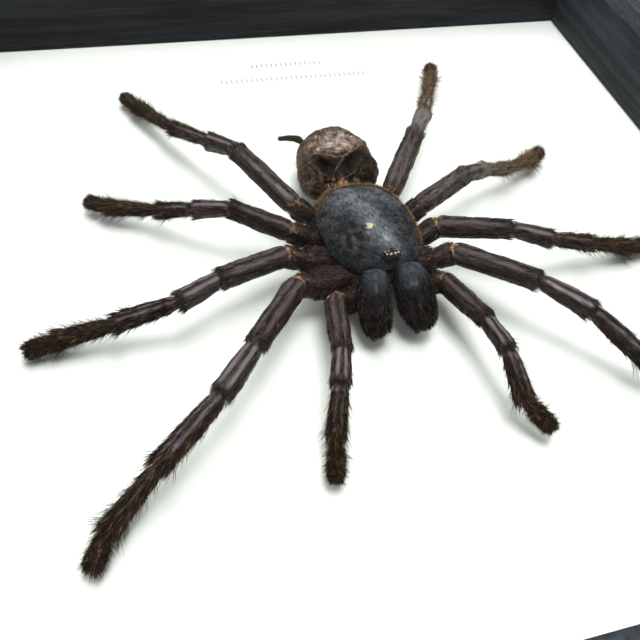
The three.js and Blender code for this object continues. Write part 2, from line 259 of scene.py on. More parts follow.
def rail_finish(name, turned, dusty, worn):
    """Black stain over grain that runs along X, or along Y if turned. Where the surface faces up it
    is grey, partly dust and partly a painted sheen, as much as dusty says. worn is how many times
    paler the stain is drawn."""
    material, tree, shader = finish(name, 0.6, Specular_IOR_Level=0.12)
    turn = {"Vector": object_place(tree), "Rotation": (0, 0, np.pi / 2 if turned else 0)}
    vector = place(tree, "ShaderNodeMapping", turn).outputs[0]
    grain = place(tree, "ShaderNodeGroup", {}, node_tree=GRAIN)
    tree.links.new(vector, grain.inputs["Vector"])
    for socket, stain in BLACK_STAINS.items():
        grain.inputs[socket].default_value = (*(part * worn for part in stain), 1)
    surface = tree.nodes.new("ShaderNodeNewGeometry").outputs["Normal"]
    upward = place(tree, "ShaderNodeSeparateXYZ", {0: surface}).outputs[2]
    dust = ramped(tree, noise(tree, vector, 700.0, 6.0), 0.25, 0.8)
    # Faces that look up turn grey: partly dust, partly a painted sheen.
    dust_and_sheen = math(tree, "MULTIPLY", ramped(tree, upward, 0.3, 0.95), dust)
    dust_and_sheen = math(tree, "MULTIPLY", dust_and_sheen, dusty)
    paint(tree, shader, blended(tree, dust_and_sheen, grain.outputs["Color"], RAIL_DUST_AND_SHEEN))
    emboss(tree, shader, grain.outputs["Height"], 0.35, 0.00012)
    return material


BLACK_STAINS = {"Dark": (0.004, 0.0045, 0.0055), "Pale": (0.017, 0.0185, 0.022)}
RAIL_DUST_AND_SHEEN = (0.085, 0.10, 0.125, 1)
# The stain on rail_left is drawn paler than on the others, as painted light on its inner face.
RAILS = {
    "rail_label_end": {"turned": False, "dusty": 0.1, "worn": 1.05},
    "rail_head_end": {"turned": False, "dusty": 0.42, "worn": 1.0},
    "rail_right": {"turned": True, "dusty": 0.35, "worn": 1.0},
    "rail_left": {"turned": True, "dusty": 0.3, "worn": 2.1},
}
for rail, state in RAILS.items():
    repaint(rail, rail_finish(rail + "_stain", **state))

panel_finish, tree, shader = finish("hardboard", 0.75)
flakes = place(tree, "ShaderNodeTexVoronoi", {"Vector": object_place(tree), "Scale": 520.0}).outputs[0]
clouds = noise(tree, object_place(tree), 300.0, 6.0)
paint(tree, shader, blended(tree, clouds, (0.07, 0.036, 0.018, 1), (0.24, 0.14, 0.07, 1)))
emboss(tree, shader, flakes, 0.3, 0.0002)
repaint("back_panel", panel_finish)

# ---- Corner glue ----
# The mitres are glued, and the black stain runs over the glue that fills them. It is as wide as the
# gap between two rails and ends just under their faces.
OPENING_HALF = 75.0
MITRE_GAP = 0.2
GLUE_SHARE = 0.95
# Where the glue ends, as (outward from the opening, height), just inside a rail's section.
GLUE_OUTLINE = [(3.1, 0.1), (6.6, 0.1), (6.9, 0.4), (6.9, 24.6), (6.6, 24.9), (3.4, 24.9), (3.1, 24.6),
                (3.1, 22.3), (0.4, 22.3), (0.1, 22.0), (0.1, 6.8), (3.1, 6.8)]
outward, height = np.transpose(GLUE_OUTLINE)
middle = OPENING_HALF - MITRE_GAP / 2 + outward
half_gap = GLUE_SHARE / 2 * MITRE_GAP
# The outline on both sides of the corner's diagonal, turned by a quarter for each corner.
sides = np.stack([np.stack([middle + side, middle - side, height], -1) for side in (-half_gap, half_gap)])
edge = np.arange(len(GLUE_OUTLINE))
after = (edge + 1) % edge.size
walls = np.stack([edge, after, after + edge.size, edge + edge.size], axis=-1)
glue_points, glue_faces = [], []
for quarter in range(4):
    cosine, sine = round(np.cos(np.pi / 2 * quarter)), round(np.sin(np.pi / 2 * quarter))
    turned = sides.reshape(-1, 3) @ np.array([[cosine, sine, 0], [-sine, cosine, 0], [0, 0, 1]])
    first = quarter * 2 * edge.size
    glue_points += (turned * MM).tolist()
    glue_faces += (walls + first).tolist()
    glue_faces += [(edge[::-1] + first).tolist(), (edge + edge.size + first).tolist()]
glue_mesh = bpy.data.meshes.new("corner_glue")
glue_mesh.from_pydata(glue_points, [], glue_faces)
glue_mesh.materials.append(rail_finish("glued_mitre", turned=False, dusty=0.0, worn=0.6))
corner_glue = bpy.data.objects.new("corner_glue", glue_mesh)
bpy.context.scene.collection.objects.link(corner_glue)
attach(corner_glue, "root")

# ---- Glass ----
# A flat pane of clear picture glass, 2 mm thick, loose in the front step of the rails.
glass_finish, tree, shader = finish("picture_glass", 0.0, Transmission_Weight=1.0, IOR=1.45)
shader.inputs["Specular IOR Level"].default_value = 0.3
shader.inputs["Base Color"].default_value = (0.97, 0.985, 0.98, 1)
let_through = place(tree, "ShaderNodeBsdfTransparent", {"Color": (0.95, 0.965, 0.96, 1)})
is_shadow = tree.nodes.new("ShaderNodeLightPath").outputs["Is Shadow Ray"]
pane = place(tree, "ShaderNodeMixShader", {0: is_shadow, 1: shader.outputs[0], 2: let_through.outputs[0]})
tree.links.new(pane.outputs[0], tree.nodes["Material Output"].inputs["Surface"])
repaint("glass_pane", glass_finish)

# ---- Carapace ----
# The hard shield over the head and legs: slate black, velvety with fine hair, grooved outward from a
# pit in its middle. Everything on the body is laid out with the head to -Y and is then turned.
BOARD_FACE = 6.4
BODY_CENTRE = (-1.6, 0.0)
BODY_TURN = np.radians(4)
CARAPACE = {"half_width": 8.5, "half_length": 10.2, "margin": 8.2, "dome": 4.6, "under": 0.7}
CARAPACE_MIDDLE = (0.15, 0.5)
CARAPACE_CORNERS = 3.2
HEAD_NARROWING = 0.08
BACK_NARROWING = 0.2
BACKWARD_SLOPE = 0.13
PIT = {"at": (-1.4, -3.0), "radius": 0.6, "depth": 0.35}
GROOVE_HEADINGS = np.radians([28, 62, 92, 122, 152])
# The line, as (y, x), that a grey bloom with a painted sheen follows, and the middle of a patch of painted
# shade beside it.
BLOOM_AND_SHEEN_RIDGE = [(-9, 1.7), (-6, 0.5), (-2.7, -0.5), (1.4, -0.8), (3.3, -1.4), (6, -1.8)]
SHADE_PATCH = (-5.0, -4.2)
STERNUM = {"half_sizes": (3.4, 7.8, 3.2), "middle": (0, 0, 5.2)}
EYE_MOUND = {"half_sizes": (1.7, 1.2, 0.8), "middle": (0.7, -8.6, 10.65)}
# Each eye's place from the middle of the mound, and its radius.
EYES = [(-1.05, -0.25, 0.2), (-0.4, -0.45, 0.26), (0.4, -0.45, 0.26), (1.05, -0.25, 0.2)]
EYES += [(-1.1, 0.35, 0.17), (-0.6, 0.3, 0.15), (0.6, 0.3, 0.15), (1.1, 0.35, 0.17)]


def on_body(points):
    """Body coordinates turned and moved to where the body lies, and lifted onto the board's face."""
    cosine, sine = np.cos(BODY_TURN), np.sin(BODY_TURN)
    x, y, z = np.moveaxis(np.asarray(points, float), -1, 0)
    turned = (x * cosine - y * sine + BODY_CENTRE[0], x * sine + y * cosine + BODY_CENTRE[1], z + BOARD_FACE)
    return np.stack(turned, axis=-1)


def waves(points, size, count, seed):
    """Soft noise from -1 to 1: the mean of count sine waves of wavelength near size, in random
    directions and phases, scaled up."""
    rng = np.random.default_rng(seed)
    directions = unit(rng.normal(size=(count, 3))) * (2 * np.pi / (size * rng.uniform(0.7, 1.4, (count, 1))))
    phases = rng.uniform(0, 2 * np.pi, count)
    return np.clip(np.sin(points @ directions.T + phases).mean(axis=-1) * np.sqrt(count), -1.5, 1.5)


def oblong(share, corners):
    """The cosine or sine given, pushed outward: 2 corners keep a circle and more square it."""
    return np.sign(share) * np.abs(share) ** (2 / corners)


def ball_angles(rows, columns):
    """A grid of (angle down from the pole, angle around) that leaves out the poles themselves."""
    down = np.pi * (np.arange(rows) + 0.5) / rows
    around = 2 * np.pi * np.arange(columns) / columns
    return np.meshgrid(down, around, indexing="ij")


def grid_normals(grid):
    """Outward directions on a grid that closes around: the cross product of its two steps, turned
    away from the middle of each row."""
    along = np.gradient(grid, axis=0)
    around = np.roll(grid, -1, axis=1) - np.roll(grid, 1, axis=1)
    normals = unit(np.cross(around, along) + 1e-12)
    outward = grid - grid.mean(axis=1, keepdims=True)
    facing_in = np.einsum("ijk,ijk->ij", normals, outward).sum() < 0
    return -normals if facing_in else normals


def shell_triangles(rows, columns):
    """Two triangles between each four neighbours of a grid that closes around, and a fan at each
    end to a pole. The poles come after the grid's own vertices."""
    row, column = np.meshgrid(np.arange(rows - 1), np.arange(columns), indexing="ij")
    beside = (column + 1) % columns
    a, b = row * columns + column, row * columns + beside
    c, d = a + columns, b + columns
    walls = np.stack([np.stack([a, c, b], -1), np.stack([b, c, d], -1)]).reshape(-1, 3)
    around = np.arange(columns)
    after = (around + 1) % columns
    first, last = rows * columns, rows * columns + 1
    start = np.stack([np.full(columns, first), around, after], -1)
    end = (rows - 1) * columns
    finish_fan = np.stack([np.full(columns, last), end + after, end + around], -1)
    return np.concatenate([walls, start, finish_fan])


def add_piece(name, points, triangles, material, values=()):
    """A piece from arrays in millimetres. values maps an attribute's name to one number, or three,
    a vertex. It rides on the one body."""
    mesh = bpy.data.meshes.new(name)
    mesh.vertices.add(len(points))
    mesh.vertices.foreach_set("co", (points * MM).astype(np.float32).ravel())
    mesh.loops.add(triangles.size)
    mesh.loops.foreach_set("vertex_index", triangles.astype(np.int32).ravel())
    mesh.polygons.add(len(triangles))
    mesh.polygons.foreach_set("loop_start", np.arange(0, triangles.size, 3, dtype=np.int32))
    mesh.polygons.foreach_set("use_smooth", np.ones(len(triangles), bool))
    for key, value in dict(values).items():
        kind, field = ("FLOAT_VECTOR", "vector") if value.ndim == 2 else ("FLOAT", "value")
        made = mesh.attributes.new(key, kind, "POINT")
        made.data.foreach_set(field, value.astype(np.float32).ravel())
    mesh.update(calc_edges=True)
    mesh.materials.append(material)
    piece = bpy.data.objects.new(name, mesh)
    bpy.context.scene.collection.objects.link(piece)
    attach(piece, "root")
    return piece


def add_shell(name, grid, material, values=()):
    """A closed surface over a grid of points that closes around, with a pole at each end, turned
    so that its volume comes out positive."""
    rows, columns = grid.shape[:2]
    poles = grid[[0, -1]].mean(axis=1)
    points = np.concatenate([grid.reshape(-1, 3), poles])
    triangles = shell_triangles(rows, columns)
    a, b, c = (points[triangles[:, i]] for i in range(3))
    if np.einsum("ij,ij->", a - poles[0], np.cross(b - poles[0], c - poles[0])) < 0:
        triangles = triangles[:, ::-1]
    full = {}
    for key, value in dict(values).items():
        ends = value[[0, -1]].mean(axis=1)
        full[key] = np.concatenate([value.reshape(rows * columns, *value.shape[2:]), ends])
    return add_piece(name, points, triangles, material, full)


def carapace_surface(down, around):
    """A rounded oblong from above that narrows to the head and, more, to the back. Its dome is
    highest just behind the eyes and slopes down to the back. Its underside is shallow."""
    reach, upright = np.sin(down), np.cos(down)
    across = oblong(np.cos(around), CARAPACE_CORNERS)
    lengthwise = oblong(np.sin(around), CARAPACE_CORNERS)
    narrowing = 1 - HEAD_NARROWING * np.maximum(-lengthwise, 0) ** 2
    narrowing -= BACK_NARROWING * np.maximum(lengthwise, 0) ** 2
    dome = CARAPACE["dome"] * (1 - BACKWARD_SLOPE * lengthwise * reach)
    x = CARAPACE_MIDDLE[0] + CARAPACE["half_width"] * across * narrowing * reach
    y = CARAPACE_MIDDLE[1] + CARAPACE["half_length"] * lengthwise * reach
    z = CARAPACE["margin"] + np.where(upright > 0, dome, CARAPACE["under"]) * upright
    return np.stack([x, y, z], axis=-1)


def groove_depths(points):
    """How deep the carapace is pressed in: a round pit, and grooves that run out from it and fade,
    each as a bell across its heading."""
    out = points[..., :2] - PIT["at"]
    distance = np.hypot(out[..., 0], out[..., 1])
    heading = np.abs(np.arctan2(out[..., 0], out[..., 1]))
    pit = PIT["depth"] * np.exp(-((distance / PIT["radius"]) ** 2))
    fade = np.clip(distance / 4 - 0.3, 0, 1) * np.clip((11 - distance) / 5, 0, 1)
    grooves = np.zeros(distance.shape)
    for middle in GROOVE_HEADINGS:
        sideways = distance * np.abs(heading - middle)
        grooves = np.maximum(grooves, np.exp(-((sideways / 0.6) ** 2)))
    return pit + 0.34 * grooves * fade


down, around = ball_angles(200, 300)
shield = carapace_surface(down, around)
upper = np.cos(down) > 0
lifted = waves(shield, 3.2, 24, 3) * 0.09 + waves(shield, 0.9, 40, 4) * 0.014
pressed = groove_depths(shield) * upper
shield[..., 2] += np.where(upper, lifted, 0) - pressed


def velvet():
    """Group: the colour of short hair on hard skin. Clouds of two tints, scattered pale flecks, and
    a grainy height for the hair's ends."""
    takes = {"Dark": "Color", "Pale": "Color", "Fleck": "Color", "Flecks": "Float"}
    group, given, put = shader_group("velvet", takes, {"Color": "Color", "Height": "Float"})
    vector = object_place(group)
    clouds = noise(group, vector, 420.0, 8.0, 0.8)
    specks = ramped(group, noise(group, vector, 1900.0, 1.0), 0.6, 0.7)
    grains = place(group, "ShaderNodeTexVoronoi", {"Vector": vector, "Scale": 3200.0}).outputs[0]
    colour = blended(group, ramped(group, clouds, 0.36, 0.66), given["Dark"], given["Pale"])
    flecked = math(group, "MULTIPLY", specks, given["Flecks"])
    group.links.new(blended(group, flecked, colour, given["Fleck"]), put["Color"])
    group.links.new(math(group, "ADD", grains, clouds), put["Height"])
    return group


VELVET = velvet()


def attribute(tree, name):
    """The number that a piece's vertices carry under the name."""
    return place(tree, "ShaderNodeAttribute", attribute_name=name).outputs["Fac"]


def laid_velvet(tree, shader, dark, pale, fleck, flecks, bump_strength):
    """Places the velvet group, with its bump, and returns its colour."""
    colours = {"Dark": dark, "Pale": pale, "Fleck": fleck, "Flecks": flecks}
    coat = place(tree, "ShaderNodeGroup", node_tree=VELVET)
    for socket, value in colours.items():
        if isinstance(value, bpy.types.NodeSocket):
            tree.links.new(value, coat.inputs[socket])
        else:
            coat.inputs[socket].default_value = value
    emboss(tree, shader, coat.outputs["Height"], bump_strength, 0.0002)
    return coat.outputs["Color"]


SLATE_TINTS = ((0.005, 0.005, 0.0065, 1), (0.046, 0.047, 0.056, 1), (0.30, 0.29, 0.26, 1))
BLOOM_AND_SHEEN = (0.21, 0.22, 0.25, 1)
SHADE_PAINT = (0.0025, 0.0025, 0.003, 1)
RUSTY_RIM = (0.085, 0.05, 0.028, 1)
GOLD_SPOT = (0.62, 0.50, 0.30, 1)
slate_finish, tree, shader = finish("slate_shield", 0.5, Specular_IOR_Level=0.08, Coat_Roughness=0.3,
                                    Sheen_Weight=0.08, Sheen_Roughness=0.35)
shader.inputs["Coat Tint"].default_value = (0.9, 0.95, 1.0, 1)
flecks = math(tree, "ADD", 0.12, attribute(tree, "dusted"))
coat = laid_velvet(tree, shader, *SLATE_TINTS, flecks, 0.8)
# A grey bloom along the crest, lightened further as a painted sheen.
coat = blended(tree, math(tree, "MULTIPLY", attribute(tree, "bloom_and_sheen"), 0.7), coat, BLOOM_AND_SHEEN)
# Painted shade where the shield faces away from the lamps.
coat = blended(tree, attribute(tree, "painted_shade"), coat, SHADE_PAINT)
coat = blended(tree, attribute(tree, "rim"), coat, RUSTY_RIM)
paint(tree, shader, blended(tree, attribute(tree, "spot"), coat, GOLD_SPOT))
# The hair has worn off in patches, most of all along the grey bloom and painted sheen, and the bare skin
# shines there.
patches = ramped(tree, noise(tree, object_place(tree), 330.0, 7.0, 0.75), 0.3, 0.7)
worn_bare = math(tree, "MULTIPLY", patches, math(tree, "ADD", 0.22, attribute(tree, "bloom_and_sheen")))
unshaded = math(tree, "SUBTRACT", 1.0, attribute(tree, "painted_shade"))
tree.links.new(math(tree, "MULTIPLY", worn_bare, unshaded), shader.inputs["Coat Weight"])

# The gold spot lies over the pit. An arc of dust runs behind it, and the rim is rusty at the back
# and the left.
shield_x, shield_y = shield[..., 0], shield[..., 1]
flat = shield[..., :2] - PIT["at"]
spot_reach = np.hypot(flat[..., 0] / 0.75, flat[..., 1] / 0.6) + 0.25 * waves(shield, 0.9, 12, 8)
from_arc = np.hypot(shield_x - 0.7, shield_y + 3.2) - 8.4
dusted = np.exp(-((from_arc / 0.8) ** 2)) * (shield_y > 3)
behind = np.clip(np.maximum(shield_y / 5 - 0.8, shield_x / 8 - 0.75), 0.002, 1)
steep = np.clip((np.degrees(down) - 56) / 14, 0, 1)
# The grey bloom and painted sheen follow their line and spread out at the back.
beside_ridge = shield_x - np.interp(shield_y, *np.transpose(BLOOM_AND_SHEEN_RIDGE))
bloom_and_sheen = np.exp(-((beside_ridge / 2.1) ** 2)) * np.clip((shield_y + 10) / 3, 0, 1)
spread = 0.55 * np.exp(-(((shield_y - 5) / 3) ** 2)) * np.clip((shield_x + 7) / 3, 0, 1)
bloom_and_sheen = np.maximum(bloom_and_sheen, spread)
bloom_and_sheen *= np.clip(0.85 + 0.35 * waves(shield * [1.5, 0.6, 1], 1.0, 40, 12), 0, 1)
# Painted shade: a dark patch on the right front flank, and the sides beyond the bloom's ridge.
from_patch = np.hypot((shield_x - SHADE_PATCH[0]) / 3.2, (shield_y - SHADE_PATCH[1]) / 5.5)
painted_shade = np.exp(-(from_patch**4)) * np.clip(0.55 + 0.8 * waves(shield, 1.5, 30, 16), 0, 1) * 0.9
beyond_ridge = np.clip(beside_ridge / 3 - 0.8, 0, 1) * np.clip(waves(shield * [1, 0.6, 1], 1.1, 30, 17), 0, 1)
painted_shade = np.maximum(painted_shade, 0.8 * beyond_ridge)
carapace_values = {
    "bloom_and_sheen": bloom_and_sheen,
    "rim": np.clip(steep * 1.2 - 0.2 + 0.4 * waves(shield, 1.0, 20, 9), 0, 1) * behind * upper,
    "painted_shade": painted_shade,
    "spot": np.clip(2.2 - 2 * spot_reach, 0, 1) * upper,
    "dusted": dusted,
}
carapace = add_shell("carapace_shield", on_body(shield), slate_finish, carapace_values)
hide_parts("cephalothorax")


def stretched_ball(rows, columns, half_sizes, middle):
    """A ball with its poles up, stretched along each axis and moved."""
    down, around = ball_angles(rows, columns)
    ball = np.stack([np.sin(down) * np.cos(around), np.sin(down) * np.sin(around), np.cos(down)], axis=-1)
    return ball * half_sizes + middle


sternum_finish, tree, shader = finish("sternum_skin", 0.6, Sheen_Weight=0.2)
STERNUM_TINTS = ((0.02, 0.014, 0.012, 1), (0.055, 0.036, 0.026, 1), (0.2, 0.12, 0.06, 1))
paint(tree, shader, laid_velvet(tree, shader, *STERNUM_TINTS, 0.5, 0.5))
plate = stretched_ball(60, 80, STERNUM["half_sizes"], STERNUM["middle"])
plate += waves(plate, 2.0, 20, 12)[..., None] * 0.08
add_shell("sternum_plate", on_body(plate), sternum_finish)

# The soft skin between the shield's margin and the roots of the limbs is part of the same piece.
FLANK = {"half_sizes": (8.1, 10.9, 2.5), "middle": (0.1, 0, 6.1)}
FLANK_CORNERS = 4.5
FLANK_TINTS = ((0.004, 0.003, 0.002, 1), (0.03, 0.018, 0.011, 1), (0.16, 0.10, 0.05, 1))
flank_finish, tree, shader = finish("flank_skin", 0.6, Specular_IOR_Level=0.08)
paint(tree, shader, laid_velvet(tree, shader, *FLANK_TINTS, 0.2, 1.0))
tilt, turn = ball_angles(60, 140)
flank = [np.sin(tilt) * oblong(side, FLANK_CORNERS) for side in (np.cos(turn), np.sin(turn))]
flank = np.stack([*flank, np.cos(tilt)], axis=-1)
flank = flank * FLANK["half_sizes"] + FLANK["middle"]
flank += grid_normals(flank) * (waves(flank, 1.6, 24, 15) * 0.16)[..., None]
add_shell("flank_skin", on_body(flank), flank_finish)

mound = stretched_ball(40, 64, EYE_MOUND["half_sizes"], EYE_MOUND["middle"])
mound += waves(mound, 0.8, 24, 14)[..., None] * 0.05
# The eye mound gets a dusting and half the painted shade.
marks = {"rim": 0, "spot": 0, "dusted": 0.3, "bloom_and_sheen": 0, "painted_shade": 0.5}
mound_values = {mark: np.full(mound.shape[:2], much, float) for mark, much in marks.items()}
add_shell("eye_mound", on_body(mound), slate_finish, mound_values)

eye_finish, tree, shader = finish("eye_lens", 0.12, Coat_Weight=0.6)
shine = noise(tree, object_place(tree), 900.0)
paint(tree, shader, blended(tree, shine, (0.16, 0.11, 0.09, 1), (0.62, 0.48, 0.42, 1)))
BEAD_GRID = (8, 14)
mound_x, mound_y, mound_z = EYE_MOUND["half_sizes"]
eye_points, eye_faces = [], []
for x, y, radius in EYES:
    over = 1 - (x / mound_x) ** 2 - (y / mound_y) ** 2
    seat = np.array([x, y, mound_z * np.sqrt(max(over, 0))]) + EYE_MOUND["middle"]
    bead = stretched_ball(*BEAD_GRID, (radius, radius, radius * 0.75), seat)
    eye_faces.append(shell_triangles(*BEAD_GRID) + sum(len(made) for made in eye_points))
    eye_points.append(np.concatenate([bead.reshape(-1, 3), bead[[0, -1]].mean(axis=1)]))
eye_points, eye_faces = np.concatenate(eye_points), np.concatenate(eye_faces)
add_piece("eyes", on_body(eye_points), eye_faces, eye_finish)

# ---- Hair ----
# Every bristle is a thin blade that tapers to a point and bends once. They are joined into one mesh
# for each part of the body that they grow on, and never reach below the board's face.


def scattered(grid, weights, count, rng):
    """Row and column places drawn at random over a grid's area times weights, each shifted by up to
    half a step."""
    along = np.linalg.norm(np.gradient(grid, axis=0), axis=-1)
    around = np.linalg.norm(np.roll(grid, -1, axis=1) - grid, axis=-1)
    chances = (along * around * weights).ravel()
    drawn = rng.choice(chances.size, count, p=chances / chances.sum())
    rows, columns = np.divmod(drawn, grid.shape[1])
    rows = np.clip(rows + rng.uniform(-0.5, 0.5, count), 0, grid.shape[0] - 1.001)
    return rows, columns + rng.uniform(-0.5, 0.5, count)


def sampled(grid, rows, columns):
    """Values between a grid's points, by how near each is, with columns that close around."""
    low, left = np.floor(rows).astype(int), np.floor(columns).astype(int)
    up, right = (rows - low)[:, None], (columns - left)[:, None]
    wide = grid.shape[1]
    values = grid.reshape(grid.shape[0], wide, -1)
    near = values[low, left % wide] * (1 - right) + values[low, (left + 1) % wide] * right
    far = values[low + 1, left % wide] * (1 - right) + values[low + 1, (left + 1) % wide] * right
    return near * (1 - up) + far * up


def rooted(grid, weights, count, rng):
    """Places for hair over a grid: the row that each is at, its root and the way out of the skin."""
    rows, columns = scattered(grid, weights, count, rng)
    return rows, sampled(grid, rows, columns), unit(sampled(grid_normals(grid), rows, columns))


def add_hair(name, roots, ways, lengths, widths, bends, material, slot, rng, paler=0):
    """Blades from roots along ways. The middle of a blade is half way along, and its tip is moved
    by bends, as a share of its length. Each blade is turned at random about its own line, and paler
    is added to its random shade."""
    count = len(roots)
    ways = unit(ways)
    sideways = unit(np.cross(ways, rng.normal(size=(count, 3)))) * widths[:, None] / 2
    start = roots - ways * ROOT_DEPTH
    middle = roots + ways * (lengths * 0.5)[:, None] + bends * (lengths * 0.15)[:, None]
    tip = roots + ways * lengths[:, None] + bends * (lengths * 0.55)[:, None]
    low, high = (start - sideways, start + sideways), (middle - sideways * 0.8, middle + sideways * 0.8)
    points = np.stack([*low, *high, tip], 1)
    points[..., 2] = np.maximum(points[..., 2], BOARD_FACE + OVER_BOARD)
    first = np.arange(count)[:, None, None] * 5
    triangles = (first + np.array([[0, 1, 3], [0, 3, 2], [2, 3, 4]])).reshape(-1, 3)
    values = {
        "shade": np.repeat(np.clip(rng.uniform(0, 1, count) + paler, 0, 1), 5),
        "tipward": np.tile([0.0, 0.0, 0.5, 0.5, 1.0], count),
    }
    return add_piece(name, points.reshape(-1, 3), triangles, material, values)


def add_body_hair(name, roots, ways, *lie, slot="slate_cuticle", rng):
    """Hair whose roots and ways are given before the body is turned. lie is its lengths, widths,
    bends and material."""
    turned = on_body(roots + ways) - on_body(roots)
    return add_hair(name, on_body(roots), turned, *lie, slot, rng)


def hair_finish(name, root, dark, pale, roughness=0.42, rarity=3.0, gloss=0.08):
    """Hair whose tips are somewhere between dark and pale, each its own shade, with a darker root that
    is partly the hair's own and partly painted shade between the hairs. The higher the rarity,
    the fewer are pale."""
    material, tree, shader = finish(name, roughness, Specular_IOR_Level=gloss)
    tip = blended(tree, math(tree, "POWER", attribute(tree, "shade"), rarity), dark, pale)
    # Darker near the root: partly the hair's own base, partly painted shade between the hairs.
    grown = ramped(tree, attribute(tree, "tipward"), 0.0, 0.7)
    paint(tree, shader, blended(tree, grown, root, tip))
    return material


# Short slate hair runs outward from the pit in swirls, thin where shade is painted on the shield.
ROOT_DEPTH = 0.05
OVER_BOARD = 0.03
SLATE_HAIRS, FRINGE_HAIRS = 9000, 6500
FINE_HAIR = 0.06
rng = np.random.default_rng(11)
shield_normals = grid_normals(shield)
short_hair = hair_finish("slate_hair", (0.003, 0.0035, 0.0045, 1), (0.009, 0.010, 0.013, 1),
                         (0.34, 0.33, 0.28, 1), rarity=7.0, gloss=0.03)
rows, columns = scattered(shield, upper * (1 - 0.7 * painted_shade), SLATE_HAIRS, rng)
roots = sampled(shield, rows, columns)
normals = sampled(shield_normals, rows, columns)
outward = roots - (*PIT["at"], CARAPACE["margin"] + CARAPACE["dome"])
outward -= normals * np.einsum("ij,ij->i", outward, normals)[:, None]
swirl = np.stack([waves(roots, 2.6, 20, 51 + i) for i in range(3)], axis=-1)
ways = 0.7 * unit(outward) + 0.6 * swirl + normals * 0.22 + rng.normal(size=roots.shape) * 0.25
add_body_hair("carapace_hair", roots, ways, rng.uniform(0.2, 0.5, SLATE_HAIRS),
              np.full(SLATE_HAIRS, FINE_HAIR), np.array([[0, 0, -0.2]]), short_hair, rng=rng)

# A rusty fringe stands up from the rim at the back and the left, in patches.
fringe_hair = hair_finish("rust_hair", (0.04, 0.02, 0.010, 1), (0.085, 0.045, 0.022, 1),
                          (0.42, 0.27, 0.15, 1), rarity=1.6)
at_rim = np.exp(-(((np.degrees(down) - 72) / 8) ** 2)) * behind
at_rim *= np.clip(0.5 + 1.2 * waves(shield, 1.8, 20, 52), 0.05, 1)
_, roots, ways = rooted(shield, at_rim, FRINGE_HAIRS, rng)
ways = ways + rng.normal(size=roots.shape) * 0.35 + [0, 0.2, 0.5]
add_body_hair("carapace_fringe", roots, ways, rng.uniform(0.2, 0.95, FRINGE_HAIRS),
              np.full(FRINGE_HAIRS, FINE_HAIR), np.array([[0, 0, -0.3]]), fringe_hair, rng=rng)

# ---- Chelicerae and fangs ----
# Two stout blunt lobes that lean down from the front of the shield, bald and shiny at their roots
# and furred beyond. Each carries a fang of polished black horn, folded back under it.
CHELICERA_MIDDLES = {
    "right": [(-3.3, -11, 9.3), (-3.5, -12, 9.1), (-4.3, -14, 8.1), (-4.9, -16, 6.6), (-5, -17.8, 4.9),
              (-4.9, -18.8, 3.7)],
    "left": [(3, -11, 9.3), (2.9, -12.2, 9.1), (2.6, -14.6, 8.2), (2.9, -16.8, 6.6), (3.5, -18.4, 4.9),
             (4, -19.2, 3.8)],
}
CHELICERA_GIRTH = {
    "right": [(2.2, 1.8), (2.7, 2.3), (2.75, 2.8), (2.6, 2.9), (2.2, 2.4), (1.2, 1.2)],
    "left": [(2.4, 1.8), (3, 2.3), (3.4, 2.8), (3.1, 2.9), (2.2, 2.4), (1.2, 1.2)],
}
FANG_ROOTS = {"right": (-4.7, -18.2), "left": (3.2, -18.6)}
# A fang's middle and thickness, as (how far back from its root, height, half width).
FANG_STEPS = [(0, 1.2, 0.55), (1.8, 0.95, 0.5), (3.8, 1, 0.35), (5.6, 1.5, 0.1)]


def eased(values, passes):
    """Rows averaged with their neighbours, over and over, with the two ends kept."""
    for _ in range(passes):
        values = np.concatenate([values[:1], (values[:-2] + 2 * values[1:-1] + values[2:]) / 4, values[-1:]])
    return values


def carried(middles, half_widths, half_heights, columns):
    """Ellipses carried along a path and set square to it. Returns the grid with the way along each
    row, the angles around, and every point's place on the tube as if it lay straight."""
    along = unit(np.gradient(middles, axis=0))
    sideways = unit(np.cross(along, [0, 0, 1]))
    above = np.cross(sideways, along)
    around = np.linspace(0, 2 * np.pi, columns, endpoint=False)
    run = np.concatenate([[0], np.cumsum(np.linalg.norm(np.diff(middles, axis=0), axis=1))])
    across = np.asarray(half_widths)[:, None] * np.cos(around)
    upward = np.asarray(half_heights)[:, None] * np.sin(around)
    grid = middles[:, None] + across[..., None] * sideways[:, None] + upward[..., None] * above[:, None]
    straight = np.stack(np.broadcast_arrays(across, upward, run[:, None]), axis=-1)
    return {"grid": grid, "along": along, "around": around, "straight": straight, "run": run}


def drawn_out(stations, rows, passes):
    """A list of stations filled in evenly to many rows, then eased."""
    stations = np.asarray(stations, float)
    given = np.linspace(0, 1, len(stations))
    wanted = np.linspace(0, 1, rows)
    return eased(np.stack([np.interp(wanted, given, column) for column in stations.T], axis=1), passes)


def long_grain():
    """Group: fine streaks along a limb, from noise over its straightened shape squeezed lengthwise,
    as a share and a height."""
    gives = {"Streaks": "Float", "Height": "Float"}
    group, given, put = shader_group("long_grain", {"Vector": "Vector"}, gives)
    squeezed = stretched(group, given["Vector"], (1, 1, 0.1))
    fine, broad = noise(group, squeezed, 4.5, 4.0, 0.65), noise(group, squeezed, 1.1, 3.0)
    group.links.new(ramped(group, fine, 0.36, 0.74), put["Streaks"])
    group.links.new(math(group, "ADD", fine, broad), put["Height"])
    return group


LONG_GRAIN = long_grain()


